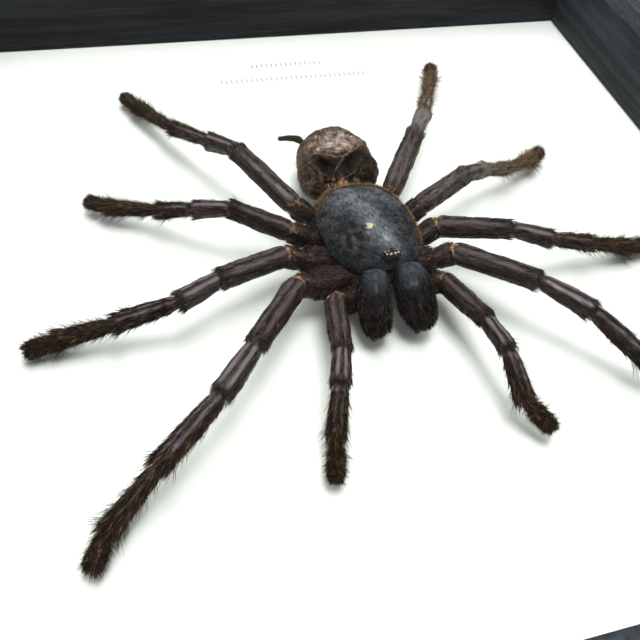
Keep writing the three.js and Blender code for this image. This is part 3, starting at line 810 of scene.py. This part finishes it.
def streaked_skin(name, dark, pale, bald, roughness, bald_roughness=0.3, glaze=0.12):
    """Hard skin with streaks along it from dark to pale, a polished bald tint and rusty membranes.
    glaze is how much of the polish lies on the rest of it."""
    material, tree, shader = finish(name, roughness, Specular_IOR_Level=0.1, Coat_Roughness=0.16)
    grain = place(tree, "ShaderNodeGroup", node_tree=LONG_GRAIN)
    straight = place(tree, "ShaderNodeAttribute", attribute_name="straight").outputs["Vector"]
    tree.links.new(straight, grain.inputs["Vector"])
    skin = blended(tree, grain.outputs["Streaks"], dark, pale)
    bare = attribute(tree, "bare")
    dull = blended(tree, grain.outputs["Streaks"], *DUSTY_TINTS)
    dusted = blended(tree, attribute(tree, "dusty"), skin, dull)
    shown = blended(tree, math(tree, "MULTIPLY", bare, 0.8), dusted, bald)
    rust = blended(tree, grain.outputs["Streaks"], *RUST_TINTS)
    paint(tree, shader, blended(tree, attribute(tree, "membrane"), shown, rust))
    gloss = place(tree, "ShaderNodeMapRange", {0: bare, 3: roughness, 4: bald_roughness}).outputs[0]
    tree.links.new(gloss, shader.inputs["Roughness"])
    patchy = ramped(tree, grain.outputs["Height"], 0.8, 1.15)
    polish = math(tree, "MULTIPLY", math(tree, "ADD", bare, glaze), patchy)
    tree.links.new(polish, shader.inputs["Coat Weight"])
    emboss(tree, shader, grain.outputs["Height"], 0.28, 0.0002)
    return material


DUSTY_TINTS = ((0.05, 0.042, 0.038, 1), (0.20, 0.175, 0.165, 1))
RUST_TINTS = ((0.16, 0.07, 0.03, 1), (0.66, 0.40, 0.22, 1))
lobe_skin = streaked_skin("lobe_skin", (0.002, 0.002, 0.0025, 1), (0.009, 0.0095, 0.012, 1),
                          (0.045, 0.05, 0.062, 1), 0.4, 0.25, glaze=0.25)
lobe_hair = hair_finish("lobe_hair", (0.0015, 0.0015, 0.0015, 1), (0.0035, 0.003, 0.0033, 1),
                        (0.15, 0.10, 0.085, 1), 0.3, rarity=5.0, gloss=0.08)
fang_finish, tree, shader = finish("polished_fang", 0.18, Specular_IOR_Level=0.6, Coat_Weight=0.3)
worn = noise(tree, object_place(tree), 1400.0, 4.0)
paint(tree, shader, blended(tree, worn, (0.004, 0.003, 0.003, 1), (0.03, 0.014, 0.009, 1)))
gloss = place(tree, "ShaderNodeMapRange", {0: worn, 3: 0.12, 4: 0.32}).outputs[0]
tree.links.new(gloss, shader.inputs["Roughness"])

LOBE_ROWS, LOBE_COLUMNS = 110, 72
FANG_ROWS, FANG_COLUMNS = 40, 20
LOBE_HAIRS = 6000
rng = np.random.default_rng(31)
for side in ("right", "left"):
    stations = np.hstack([CHELICERA_MIDDLES[side], CHELICERA_GIRTH[side]])
    rows = drawn_out(stations, LOBE_ROWS, 60)
    share = np.linspace(0, 1, LOBE_ROWS)
    rounding = np.sqrt(np.clip(1 - np.clip((share - 0.9) / 0.1, 0, 1) ** 2, 0.02, 1))
    lobe = carried(rows[:, :3], rows[:, 3] * rounding, rows[:, 4] * rounding, LOBE_COLUMNS)
    share = share[:, None]
    dents = waves(lobe["straight"] * [1, 1, 0.3], 1.6, 24, 41) * 0.05
    lobe["grid"] += grid_normals(lobe["grid"]) * dents[..., None]
    top = np.clip(np.sin(lobe["around"])[None, :] * 1.6 - 0.5, 0, 1)
    ragged = np.clip(1 + 0.6 * waves(lobe["straight"], 0.8, 16, 5), 0, 1)
    bald = top * np.clip((0.45 - share) / 0.25, 0, 1) * ragged
    values = {"straight": lobe["straight"], "bare": bald, "membrane": np.zeros_like(bald)}
    skin = add_shell("chelicera_" + side + "_skin", on_body(lobe["grid"]), lobe_skin, values)
    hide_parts("chelicera_" + side)

    thick = (0.25 + 0.75 * np.clip((share - 0.1) / 0.25, 0, 1)) * (1 - 0.85 * bald)
    at, roots, normals = rooted(lobe["grid"], thick, LOBE_HAIRS, rng)
    ends = (at / (LOBE_ROWS - 1))[:, None]
    # Longer hair stands off the inner faces, where the two lobes meet.
    inner = (normals[:, :1] * (1 if side == "right" else -1) > 0.55) & (ends > 0.5)
    lean = np.where(inner, 0.7, 0.06 + 0.12 * ends ** 3)
    ways = lobe["along"][at.astype(int)] + normals * lean + rng.normal(size=roots.shape) * 0.07
    lengths = (0.5 + 0.7 * ends[:, 0]) * rng.uniform(0.6, 1.2, LOBE_HAIRS) * np.where(inner[:, 0], 1.35, 1)
    add_body_hair("chelicera_" + side + "_hair", roots, ways, lengths,
                  rng.uniform(0.06, 0.12, LOBE_HAIRS), -normals * 0.1, lobe_hair, rng=rng)

    fang_x, fang_y = FANG_ROOTS[side]
    steps = np.array([(fang_x, fang_y + back, height, half) for back, height, half in FANG_STEPS])
    rows = drawn_out(steps, FANG_ROWS, 30)
    fang = carried(rows[:, :3], rows[:, 3], rows[:, 3] * 0.9, FANG_COLUMNS)
    horn = add_shell("fang_" + side + "_horn", on_body(fang["grid"]), fang_finish)
    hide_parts("fang_" + side)

# ---- Abdomen ----
# A soft bag that has dried and puckered, carried by a short stalk. Its front has caved in under the
# top in two steps, and rusty skin lines the hollow. Its hair is short and lies flat.
ABDOMEN = {"half_sizes": (7.6, 8.6, 5.1), "middle": (1.6, 20.1, 6.3)}
ABDOMEN_CORNERS = 2.5
ABDOMEN_TAPER = 0.24
ABDOMEN_LEAN = 0.7
RIDGES = {"count": 5, "depth": 0.035}
CREASE = {"depth": 0.16, "y": -0.45, "width": 0.16}
BELLY_SAG = 0.85
PEDICEL = [(0.4, 11.3, 6.4, 1.1), (0.8, 13, 6.3, 1.2), (1.2, 15, 6.2, 1.3)]
HOLLOW = {"at": (0.2, 13.2, 8.2), "radius": 3.4, "depth": 2.4}
# The line, as (x, y), where the top of the bag ends, and the two steps that lead down from it. Each is
# deepest at the x given first in across, and fades over the width given second.
LEDGE_LINE = [(-8, 18.2), (-4.5, 19.0), (-3, 19.8), (-1.5, 18.9), (0.6, 18.0), (2.6, 17.9), (4.7, 19.0),
              (6.6, 20.4), (9, 21)]
# Each step's dark is how much painted shade lies in its groove.
STEPS = [
    {"past": 0.0, "drop": 0.6, "cut": 0.5, "wide": 0.3, "dark": 0.5, "across": (2, 8)},
    {"past": 1.2, "drop": 1.7, "cut": 0.8, "wide": 0.45, "dark": 1.0, "across": (-0.4, 3.2)},
]
PALE_STREAK = ((0.0, 16.4), (4.0, 18.6))
GLINT_SPOTS = [(-1.7, 21.7), (5.1, 20.2)]


def abdomen_surface(down, around):
    """A squarish ball, broad in front, whose narrow back leans to its left. Its outline has a few
    broad ridges, a crease is pressed across its top, and its belly sags less than its back."""
    side, front, up = np.sin(down) * np.cos(around), np.sin(down) * np.sin(around), np.cos(down)
    angle = np.arctan2(front, side)
    ridges = 1 + RIDGES["depth"] * np.sin(RIDGES["count"] * angle + 1) * (1 - up**2)
    across, lengthwise = (oblong(share, ABDOMEN_CORNERS) * ridges for share in (side, front))
    from_crease = (lengthwise - CREASE["y"]) / CREASE["width"]
    crease = CREASE["depth"] * np.exp(-(from_crease**2)) * np.maximum(up, 0)
    lift = np.where(up < 0, BELLY_SAG, 1) * up - crease
    across = across * (1 - ABDOMEN_TAPER * lengthwise)
    half_width, half_length, half_height = ABDOMEN["half_sizes"]
    x = half_width * across + ABDOMEN_LEAN * lengthwise
    return np.stack([x, half_length * lengthwise, half_height * lift], axis=-1) + ABDOMEN["middle"]


def folds(points, size, seed):
    """Sharp folds: one less the size of soft noise, which creases where the noise changes sign. The
    places are first pushed about by broader noise, so that the folds wander."""
    pushes = [waves(points, size * 2.2, 16, seed + 7 * i) for i in range(3)]
    pushed = points + np.stack(pushes, -1) * size * 0.5
    return 1 - np.abs(waves(pushed, size, 24, seed + 40))


down, around = ball_angles(230, 300)
bag = abdomen_surface(down, around)
bag_normals = grid_normals(bag)
from_hollow = np.linalg.norm((bag - HOLLOW["at"]) * [0.8, 1, 1.3], axis=-1)
in_hollow = np.exp(-((from_hollow / HOLLOW["radius"]) ** 2))
toward_front = np.clip((17.5 - bag[..., 1]) / 6, 0, 1)
coarse, fine = folds(bag, 3.4, 60), folds(bag * [1, 1.6, 1.6], 1.1, 90)
ledge_y = np.interp(bag[..., 0], *np.transpose(LEDGE_LINE))
past_line = ledge_y + 0.35 * waves(bag * [1, 0, 0.6], 2.0, 16, 33) - bag[..., 1]
raised = np.clip((bag[..., 2] - 6.5) / 2, 0, 1)
press = HOLLOW["depth"] * in_hollow + (0.2 + 0.35 * toward_front) * coarse + 0.06 * fine
press += 0.02 * waves(bag, 0.5, 40, 21) - 0.25
ledge, cut = 0, 0
for step in STEPS:
    past = past_line - step["past"] * (1 + 0.4 * waves(bag * [1, 0, 0.6], 3.1, 16, 35))
    deepest, width = step["across"]
    inside = raised * (0.2 + 0.8 * np.exp(-(((bag[..., 0] - deepest) / width) ** 2)))
    stepped = np.clip(past / 0.8, 0, 1) * np.clip(1.6 - past / 3, 0.35, 1) * inside
    groove = np.exp(-((past / step["wide"]) ** 2)) * inside
    press += step["drop"] * stepped + step["cut"] * groove
    ledge, cut = ledge + step["drop"] * stepped / 2, np.maximum(cut, groove * step["dark"])
bag = bag - bag_normals * press[..., None]

BAG_TINTS = ((0.016, 0.008, 0.004, 1), (0.11, 0.062, 0.034, 1), (0.30, 0.19, 0.11, 1))
COPPER_SHEEN_TINTS = ((0.15, 0.105, 0.09, 1), (0.50, 0.36, 0.30, 1))
HOLLOW_TINTS = ((0.02, 0.008, 0.004, 1), (0.48, 0.29, 0.18, 1))
bag_finish, tree, shader = finish("puckered_skin", 0.45, Specular_IOR_Level=0.1, Coat_Roughness=0.35)
coat = laid_velvet(tree, shader, *BAG_TINTS, 0.3, 0.6)
copper = noise(tree, object_place(tree), 700.0, 4.0)
# A copper tint with a painted sheen over the top of the bag.
copper_and_sheen = blended(tree, ramped(tree, copper, 0.35, 0.65), *COPPER_SHEEN_TINTS)
copper_sheened = blended(tree, attribute(tree, "copper_and_sheen"), coat, copper_and_sheen)
unfolded = math(tree, "SUBTRACT", 1.0, attribute(tree, "fold"))
gleam = math(tree, "MULTIPLY", math(tree, "ADD", attribute(tree, "copper_and_sheen"), 0.3), unfolded)
tree.links.new(gleam, shader.inputs["Coat Weight"])
rusted = blended(tree, ramped(tree, copper, 0.35, 0.6), *HOLLOW_TINTS)
# Painted shade: the folds, the steps' grooves and the hollow are drawn nearly black.
painted_fold_shade = blended(tree, attribute(tree, "fold"), copper_sheened, (0.003, 0.0015, 0.001, 1))
paint(tree, shader, blended(tree, attribute(tree, "rust"), painted_fold_shade, rusted))

# The top has a copper tint in streaks, lightened as a painted sheen. A pale streak and two painted
# gold glints mark the ledge. The folds and the hollow are painted nearly black as shade, and the
# left cheek is nearly black too.
on_top = np.exp(-((((bag[..., 0] - 1.6) / 5.2) ** 2 + ((bag[..., 1] - 21.4) / 3.6) ** 2) ** 2))
streak_from, streak_to = np.array(PALE_STREAK)
streak_way = unit(streak_to - streak_from)
from_streak = bag[..., :2] - streak_from
run = np.clip(from_streak @ streak_way, 0, np.linalg.norm(streak_to - streak_from))
off_streak = np.linalg.norm(from_streak - run[..., None] * streak_way, axis=-1)
streak = np.exp(-((off_streak / 0.17) ** 2)) * raised
# Two painted gold glints on the ledge.
from_spots = [np.linalg.norm(bag[..., :2] - spot, axis=-1) for spot in GLINT_SPOTS]
painted_glints = sum(np.exp(-((distance / 0.8) ** 2)) for distance in from_spots) * raised
painted_glints = painted_glints * np.clip(0.5 + waves(bag, 0.8, 30, 29), 0, 1)
dark_cheek = 0.6 * np.clip((bag[..., 0] - 3.2) / 1.5, 0, 1) * np.clip((19.0 - bag[..., 1]) / 1.2, 0, 1)
dark_cheek = dark_cheek * np.clip(1 + 0.5 * waves(bag * [0.6, 1, 2], 0.9, 30, 37), 0, 1)
streaky = 0.75 + 0.4 * waves(bag, 1.9, 24, 17) + 0.3 * waves(bag * [2.2, 0.4, 1], 0.9, 30, 18)
strands = np.clip(0.3 + waves(bag * [3.0, 0.5, 0.5], 1.5, 24, 19), 0, 1)
strands = np.clip(in_hollow * 1.6 - 0.35, 0, 1) * strands
copper_and_sheen = on_top * streaky * (bag[..., 2] > 7) * (past_line < 0.3)
# The fold mark is painted shade in the folds, the steps and the hollow, and also darkens the left cheek.
fold = np.maximum((coarse - 0.75) * 3, cut) + 1.4 * ledge + 0.5 * in_hollow + dark_cheek - streak
bag_values = {
    "copper_and_sheen": np.clip(copper_and_sheen + 0.3 * streak, 0, 1) * 0.9,
    # The rust mark carries the rusty strands in the hollow and the painted glints.
    "rust": np.clip(strands * 0.6 + painted_glints, 0, 1),
    "fold": np.clip(fold, 0, 0.95),
}
skin = add_shell("abdomen_skin", on_body(bag), bag_finish, bag_values)
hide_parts("abdomen")

stalk = drawn_out(PEDICEL, 40, 10)
stalk_tube = carried(stalk[:, :3], stalk[:, 3], stalk[:, 3], 40)
puckers = waves(stalk_tube["grid"], 0.9, 20, 23) * 0.12
stalk_tube["grid"] += grid_normals(stalk_tube["grid"]) * puckers[..., None]
stalk_skin = streaked_skin("stalk_skin", (0.03, 0.014, 0.007, 1), (0.13, 0.06, 0.03, 1),
                           (0.1, 0.06, 0.04, 1), 0.6)
plain = np.zeros(stalk_tube["grid"].shape[:2])
add_shell("pedicel_skin", on_body(stalk_tube["grid"]), stalk_skin,
          {"straight": stalk_tube["straight"], "bare": plain, "membrane": plain + 0.4})

BAG_HAIRS = 8000
bag_hair = hair_finish("bag_hair", (0.010, 0.006, 0.003, 1), (0.028, 0.017, 0.010, 1),
                       (0.20, 0.135, 0.08, 1))
rng = np.random.default_rng(47)
thick = (1 - 0.8 * bag_values["copper_and_sheen"]) * (1 - bag_values["fold"])
_, roots, normals = rooted(bag, thick, BAG_HAIRS, rng)
backward = np.array([0, 1.0, -0.2]) - normals * (normals @ [0, 1.0, -0.2])[:, None]
ways = unit(backward) + normals * 0.25 + rng.normal(size=roots.shape) * 0.3
add_body_hair("abdomen_hair", roots, ways, rng.uniform(0.35, 0.9, BAG_HAIRS),
              rng.uniform(0.04, 0.07, BAG_HAIRS), -normals * 0.2, bag_hair, slot="dried_skin", rng=rng)

# ---- Spinnerets ----
# Two short jointed tubes at the end of the abdomen. The right one stands out to the side.
SPINNERET_MIDDLES = {
    "right": [(-1.8, 27.6, 5.9), (-3.2, 28.7, 6.7), (-4.9, 29.1, 6.9), (-7, 29.4, 6.8)],
    "left": [(0.8, 29.5, 5), (0.9, 30.3, 4.4), (1, 31.2, 3.2), (1, 31.8, 1.8)],
}
SPINNERET_GIRTH = [0.62, 0.66, 0.52, 0.4]
SPINNERET_RINGS = 3
TUBE_ROWS, TUBE_COLUMNS = 60, 28
TUBE_HAIRS = 900
tube_skin = streaked_skin("tube_skin", (0.012, 0.008, 0.006, 1), (0.06, 0.04, 0.025, 1),
                          (0.1, 0.06, 0.04, 1), 0.6)
for side in ("right", "left"):
    stations = np.column_stack([SPINNERET_MIDDLES[side], SPINNERET_GIRTH])
    rows = drawn_out(stations, TUBE_ROWS, 12)
    share = np.linspace(0, 1, TUBE_ROWS)
    rings = 1 - 0.16 * np.exp(-(((share * SPINNERET_RINGS % 1 - 0.5) / 0.12) ** 2))
    tip = np.sqrt(np.clip(1 - np.clip((share - 0.93) / 0.07, 0, 1) ** 2, 0.05, 1))
    tube = carried(rows[:, :3], rows[:, 3] * rings * tip, rows[:, 3] * rings * tip, TUBE_COLUMNS)
    plain = np.zeros(tube["grid"].shape[:2])
    values = {"straight": tube["straight"], "bare": plain, "membrane": plain}
    skin = add_shell("spinneret_" + side + "_skin", on_body(tube["grid"]), tube_skin, values)
    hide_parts("spinneret_" + side)
    at, roots, normals = rooted(tube["grid"], plain + 1, TUBE_HAIRS, rng)
    ways = tube["along"][at.astype(int)] + normals * 0.5 + rng.normal(size=roots.shape) * 0.15
    add_body_hair("spinneret_" + side + "_hair", roots, ways, rng.uniform(0.25, 0.5, TUBE_HAIRS),
                  np.full(TUBE_HAIRS, 0.045), -normals * 0.1, bag_hair, slot="dried_skin", rng=rng)

# ---- Glue ----
# A dab of clear adhesive, dried yellow, holds the sternum to the board.
glue_finish, tree, shader = finish("dried_adhesive", 0.3, Coat_Weight=0.3, Subsurface_Weight=0.2)
bubbles = noise(tree, object_place(tree), 800.0, 4.0)
paint(tree, shader, blended(tree, bubbles, (0.42, 0.33, 0.18, 1), (0.68, 0.6, 0.42, 1)))
repaint("glue_dab", glue_finish)

# ---- Limbs ----
# Four legs and a pedipalp a side, each one dried piece of jointed hard skin. Every joint is a sleeve
# whose end rim stands out over the neck of the next. Bald stripes shine along the top.
JOINT_LENGTHS = {
    "leg_1": {"femur": 16, "patella": 9.7, "tibia": 13, "metatarsus": 10.7, "tarsus": 6.7},
    "leg_2": {"femur": 13.3, "patella": 8, "tibia": 10.8, "metatarsus": 10.2, "tarsus": 5.5},
    "leg_3": {"femur": 11.3, "patella": 7.1, "tibia": 8.1, "metatarsus": 9.9, "tarsus": 5.7},
    "leg_4": {"femur": 15.2, "patella": 7.8, "tibia": 11.5, "metatarsus": 13.6, "tarsus": 6.3},
    "pedipalp": {"femur": 12.2, "patella": 6.8, "tibia": 7.9, "tarsus": 7.6},
}
COXA_ROOTS = {
    "leg_1": (4.6, -6.6, 5.3),
    "leg_2": (4.8, -2.3, 5.0),
    "leg_3": (4.8, 1.9, 4.4),
    "leg_4": (4.1, 6.2, 4.5),
    "pedipalp": (4, -10.4, 3.7),
}
# Where each limb's trochanter ends, and how each joint beyond it runs: degrees from the head outward
# and degrees up.
LIMBS = {
    "leg_1_right": {"hip": (-17.4, -11, 9.2), "heading": (38, 43, 55, 52, 27),
                    "pitch": (7, -3, -20, -18, -3)},
    "leg_2_right": {"hip": (-17.4, -3.7, 8.6), "heading": (69, 62, 95, 95, 80),
                    "pitch": (6, 3, -23, -18, -8)},
    "leg_3_right": {"hip": (-15.1, 2.1, 8.3), "heading": (109, 124, 129, 119, 129),
                    "pitch": (19, -24, -27, -12, -8)},
    "leg_4_right": {"hip": (-12.8, 8.1, 8.4), "heading": (145, 151, 150, 156, 155),
                    "pitch": (15, -20, -18, -14, -8)},
    "pedipalp_right": {"hip": (-11.4, -13.6, 7.1), "heading": (12, 19, 17, 14), "pitch": (10, 5, -45, -14)},
    "leg_1_left": {"hip": (11.9, -7.9, 8.5), "heading": (41, 45, 43, 45, 45),
                   "pitch": (12, -8, -23, -10, -3)},
    "leg_2_left": {"hip": (11.4, -1.1, 8.2), "heading": (60, 80, 93, 93, 93),
                   "pitch": (16, -16, -19, -18, -5)},
    "leg_3_left": {"hip": (10.2, 4.6, 8.3), "heading": (112, 121, 110, 119, 127),
                   "pitch": (14, -22, -20, -14, -8)},
    "leg_4_left": {"hip": (6.6, 10.2, 7), "heading": (144, 147, 152, 153, 159),
                   "pitch": (17, -10, -21, -11, -8)},
    "pedipalp_left": {"hip": (8.8, -12.3, 6.6), "heading": (11, 6, 11, 33), "pitch": (13, 3, -34, -19)},
}
TROCHANTER_LENGTH = 3
TROCHANTER_RISE = 2.1
# Half width of the bare skin along each joint, from 0 at its base to 1 at its end.
SKIN_PROFILES = {
    "coxa": [(0, 1.3), (0.2, 1.6), (0.5, 1.95), (0.84, 2.15), (0.92, 1.75), (1, 1.6)],
    "trochanter": [(0, 1.7), (0.12, 2.15), (0.7, 2.3), (0.9, 2.2), (0.96, 1.7), (1, 1.6)],
    "femur": [(0, 1.8), (0.05, 2.25), (0.3, 2.2), (0.6, 2.2), (0.88, 2.05), (0.965, 2.2), (1, 1.2)],
    "patella": [(0, 1.2), (0.08, 1.65), (0.5, 1.9), (0.85, 1.95), (0.955, 2.1), (1, 1.15)],
    "tibia": [(0, 1.0), (0.07, 1.35), (0.4, 1.55), (0.85, 1.6), (0.96, 1.65), (1, 0.9)],
    "metatarsus": [(0, 0.85), (0.1, 1.1), (0.5, 1.3), (0.94, 1.45), (1, 0.75)],
    "tarsus": [(0, 0.7), (0.12, 0.95), (0.5, 1.4), (0.8, 1.3), (0.95, 0.85), (1, 0.35)],
}
# The tarsus's skin ends this far short of the tips of its hair.
BRUSH = 1.0
# How stout each kind of limb is: its coxa, the rest inside the knee, and the part beyond it.
GIRTH = {
    "leg_1": (1.25, 0.88, 0.95),
    "leg_2": (1.12, 0.88, 0.88),
    "leg_3": (0.98, 0.85, 0.8),
    "leg_4": (0.95, 0.85, 0.79),
    "pedipalp": (1.1, 0.8, 0.86),
}
INNER_JOINTS = ("trochanter", "femur", "patella")
LIMB_COLUMNS = 48
ROW_STEP = 0.2


def limb_ends(name):
    """Where a limb's joints meet, from the root of the coxa to the tip of the tarsus. Each joint
    from the femur out adds its length along its heading and pitch."""
    kind = name.rsplit("_", 1)[0]
    outward = 1 if name.endswith("left") else -1
    out, root_y, root_height = COXA_ROOTS[kind]
    start = on_body([out * outward, root_y, root_height]) - [0, 0, BOARD_FACE]
    hip = np.array(LIMBS[name]["hip"], float)
    inward = (start - hip) * [1, 1, 0]
    coxa_end = hip + unit(inward) * TROCHANTER_LENGTH - [0, 0, TROCHANTER_RISE]
    heading, pitch = np.radians(LIMBS[name]["heading"]), np.radians(LIMBS[name]["pitch"])
    level = np.cos(pitch)
    ways = np.stack([outward * np.sin(heading) * level, -np.cos(heading) * level, np.sin(pitch)], 1)
    lengths = np.array(list(JOINT_LENGTHS[kind].values()))[:, None]
    lengths[-1] -= BRUSH
    beyond_hip = hip + np.cumsum(ways * lengths, axis=0)
    return np.concatenate([[start, coxa_end, hip], beyond_hip]) + [0, 0, BOARD_FACE]


def limb_rows(name):
    """The rows of a limb: the middle of each, its joint's number plus the share along it, and its
    half width. Joints are drawn out evenly, and the middles are eased over the bends."""
    kind = name.rsplit("_", 1)[0]
    joints = ["coxa", "trochanter", *JOINT_LENGTHS[kind]]
    ends = limb_ends(name)
    middles, places, widths = [], [], []
    for number, joint in enumerate(joints):
        length = np.linalg.norm(ends[number + 1] - ends[number])
        share = np.linspace(0, 1, max(int(length / ROW_STEP), 8), endpoint=False)
        known, half_widths = np.transpose(SKIN_PROFILES[joint])
        coxa, inner, outer = GIRTH[kind]
        girth = coxa if joint == "coxa" else inner if joint in INNER_JOINTS else outer
        middles.append(ends[number] + (ends[number + 1] - ends[number]) * share[:, None])
        places.append(number + share)
        widths.append(np.interp(share, known, half_widths) * girth)
    middles, places, widths = map(np.concatenate, (middles, places, widths))
    return joints, eased(middles, 14), places, eased(widths, 1)


def limb_surface(name, seed):
    """Circles set square to the middle line and shrivelled along it: each is pressed in by noise
    that is drawn out lengthwise. Returns the grid with what its hair and colour need."""
    joints, middles, places, widths = limb_rows(name)
    limb = carried(middles, widths, widths, LIMB_COLUMNS)
    squeezed = limb["straight"] * [1, 1, 0.1]
    furrows = waves(squeezed, 0.9, 30, seed) * 0.03 + waves(squeezed, 2.2, 20, seed + 1) * 0.06
    dents = waves(squeezed * [1, 1, 8], 3.0, 24, seed + 2) * 0.03
    outward = limb["grid"] - middles[:, None]
    limb["grid"] = middles[:, None] + outward * (1 + furrows + dents)[..., None]
    return {**limb, "joints": joints, "places": places}


# How the hair lies on each joint: how thick it grows, how long it is, how far it stands off the skin
# (0 flat, 1 at half a right angle), how much of it is left off the bald stripes, how much paler it is
# and how much the stripes shine.
HAIR_BY_JOINT = {
    "coxa": {"thick": 0.9, "long": 0.8, "lean": 0.25, "bald": 0.2, "pale": 0.0, "shine": 0},
    "trochanter": {"thick": 0.6, "long": 0.7, "lean": 0.25, "bald": 0.5, "pale": 0.05, "shine": 0.2},
    "femur": {"thick": 0.5, "long": 0.9, "lean": 0.1, "bald": 0.75, "pale": -0.05, "shine": 0.45},
    "patella": {"thick": 0.45, "long": 1.0, "lean": 0.1, "bald": 1.0, "pale": 0.0, "shine": 1.0},
    "tibia": {"thick": 1.2, "long": 1.6, "lean": 0.16, "bald": 0.8, "pale": 0.03, "shine": 0.8},
    "metatarsus": {"thick": 1.9, "long": 1.8, "lean": 0.26, "bald": 0.3, "pale": 0.05, "shine": 0.35},
    "tarsus": {"thick": 3.0, "long": 1.4, "lean": 0.55, "bald": 0.0, "pale": 0.0, "shine": 0},
}


def by_joint(limb, key):
    """A number of each joint's hair, spread over the limb's rows and eased between joints."""
    values = np.array([HAIR_BY_JOINT[joint][key] for joint in limb["joints"]])
    return eased(values[limb["places"].astype(int)], 6)


def bald_stripes(limb):
    """1 on two stripes either side of the top, from the femur to the metatarsus, ragged by noise."""
    number = limb["places"][:, None]
    ragged = 0.35 * waves(limb["straight"] * [1, 1, 0.3], 1.2, 20, 77)
    above_top = (limb["around"][None, :] - np.pi / 2 + np.pi) % (2 * np.pi) - np.pi
    from_stripe = np.abs(np.abs(above_top) - 0.42) / 0.17
    stripe = np.clip(1.6 - from_stripe - ragged, 0, 1)
    share = number % 1
    fade = np.clip(share / 0.1, 0, 1) * np.clip((0.95 - share) / 0.12, 0, 1)
    shine = by_joint(limb, "shine")[:, None]
    return stripe * fade * shine


def membranes(limb):
    """1 on the bare fold of skin that shows as a rusty crescent over the hip: a bow that lags
    further down the limb the further it is from the top."""
    past_hip = limb["run"] - np.interp(2.0, limb["places"], limb["run"])
    up = np.sin(limb["around"])[None, :]
    from_bow = past_hip[:, None] - 0.1 - 0.8 * (1 - up)
    frayed = 1 + 0.5 * waves(limb["straight"], 0.8, 16, 61)
    return np.clip(1.3 - np.abs(from_bow) / 0.2 * frayed, 0, 1) * np.clip(up * 3 - 0.9, 0, 1)


leg_skin = streaked_skin("leg_skin", (0.005, 0.0028, 0.0024, 1), (0.066, 0.042, 0.038, 1),
                         (0.15, 0.125, 0.135, 1), 0.45, glaze=0.4)
leg_hair = hair_finish("leg_hair", (0.004, 0.0022, 0.0015, 1), (0.017, 0.009, 0.0055, 1),
                       (0.26, 0.155, 0.08, 1), 0.35, rarity=5.0, gloss=0.08)
# Each coat of hair on a limb: how many there are, and how long, how far off the skin and how wide
# they are beside the joint's own measures.
COATS = {
    "_hair": {"count": 10500, "long": 1.0, "lean": 1.0, "wide": 0.1},
    "_guard_hair": {"count": 1500, "long": 1.8, "lean": 2.8, "wide": 0.07},
}
# Where a limb has faded to a dusty grey: the joints' numbers where that begins and ends, and how
# dusty it is there.
DUSTY = {
    "leg_4_left": [(2.1, 2.9, 0.3), (2.85, 4.2, 1), (4.1, 6.3, 0.7)],
    "leg_3_left": [(2.1, 3.6, 0.35), (3.5, 6.1, 1)],
}
# How much of the rusty fold over the hip shows, where hair hides some of it.
HIDDEN_FOLDS = {"leg_4_left": 0.2, "leg_3_left": 0.2, "leg_4_right": 0.6, "leg_3_right": 0.5}


def faded(limb, name):
    """How dusty each row is, from the stretches given for the limb, with their ends softened."""
    dusty = np.zeros(len(limb["places"]))
    for start, end, much in DUSTY.get(name, ()):
        past, short = (limb["places"] - start) / 0.15, (end - limb["places"]) / 0.3
        dusty = np.maximum(dusty, much * np.clip(past, 0, 1) * np.clip(short, 0, 1))
    return dusty


def grow_hair(name, limb, weights, dusty, rng, count, long, lean, wide):
    """Hair that lies along a limb and leans off it in tufts: its way and its shade follow soft
    noise, so that neighbours agree. It droops where it hangs underneath."""
    rows, roots, normals = rooted(limb["grid"], weights, count, rng)
    at = rows.astype(int)
    along = limb["along"][at]
    squeezed = roots * 0.8 + along * 3
    tufts = np.stack([waves(squeezed, 0.9, 20, 71 + i) for i in range(3)], axis=-1)
    leans = (by_joint(limb, "lean")[at] * lean * rng.uniform(0.5, 1.6, count))[:, None]
    share = limb["places"][at] % 1
    toward_end = np.clip((share - 0.55) / 0.4, 0, 1)
    ways = along + normals * leans * (1 + toward_end)[:, None] + tufts * 0.13
    ways = ways + rng.normal(size=roots.shape) * 0.06
    at_tip = limb["places"][at] > len(limb["joints"]) - 0.6
    lengths = by_joint(limb, "long")[at] * long * rng.uniform(0.5, 1.2, count)
    lengths *= np.where(at_tip, 0.6, 0.75 + 0.4 * toward_end)
    hanging = np.clip(-normals[:, 2:], 0, 1) * [[0, 0, -0.2]]
    paler = by_joint(limb, "pale")[at] + 0.14 * tufts[:, 0] + 0.6 * dusty[at] - 0.05
    widths = rng.uniform(0.6, 1.2, count) * wide
    add_hair(name, roots, ways, lengths, widths, hanging - normals * 0.2, leg_hair, "brown_cuticle", rng,
             paler)


def dress_limb(name, seed):
    """Makes a limb's skin, its coat and the longer guard hairs that stand out of the coat."""
    limb = limb_surface(name, seed)
    bare, dusty = bald_stripes(limb), faded(limb, name)
    fold = membranes(limb) * HIDDEN_FOLDS.get(name, 1)
    dust = np.broadcast_to(dusty[:, None], bare.shape)
    values = {"straight": limb["straight"], "bare": bare, "membrane": fold, "dusty": dust}
    skin = add_shell(name + "_skin", limb["grid"], leg_skin, values)
    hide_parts(name)
    rng = np.random.default_rng(seed + 5)
    clear = (1 - bare * by_joint(limb, "bald")[:, None]) * (1 - fold) * (1 - 0.5 * dust)
    off_necks = np.clip((limb["places"][:, None] % 1 - 0.03) / 0.1, 0.1, 1)
    thick = by_joint(limb, "thick")[:, None] * clear * off_necks
    outer = (limb["places"] > 3.7)[:, None] * 0.9 + 0.1
    for coat_name, weights in (("_hair", thick), ("_guard_hair", thick * outer)):
        grow_hair(name + coat_name, limb, weights, dusty, rng, **COATS[coat_name])


for number, limb_name in enumerate(LIMBS):
    dress_limb(limb_name, 100 + 10 * number)
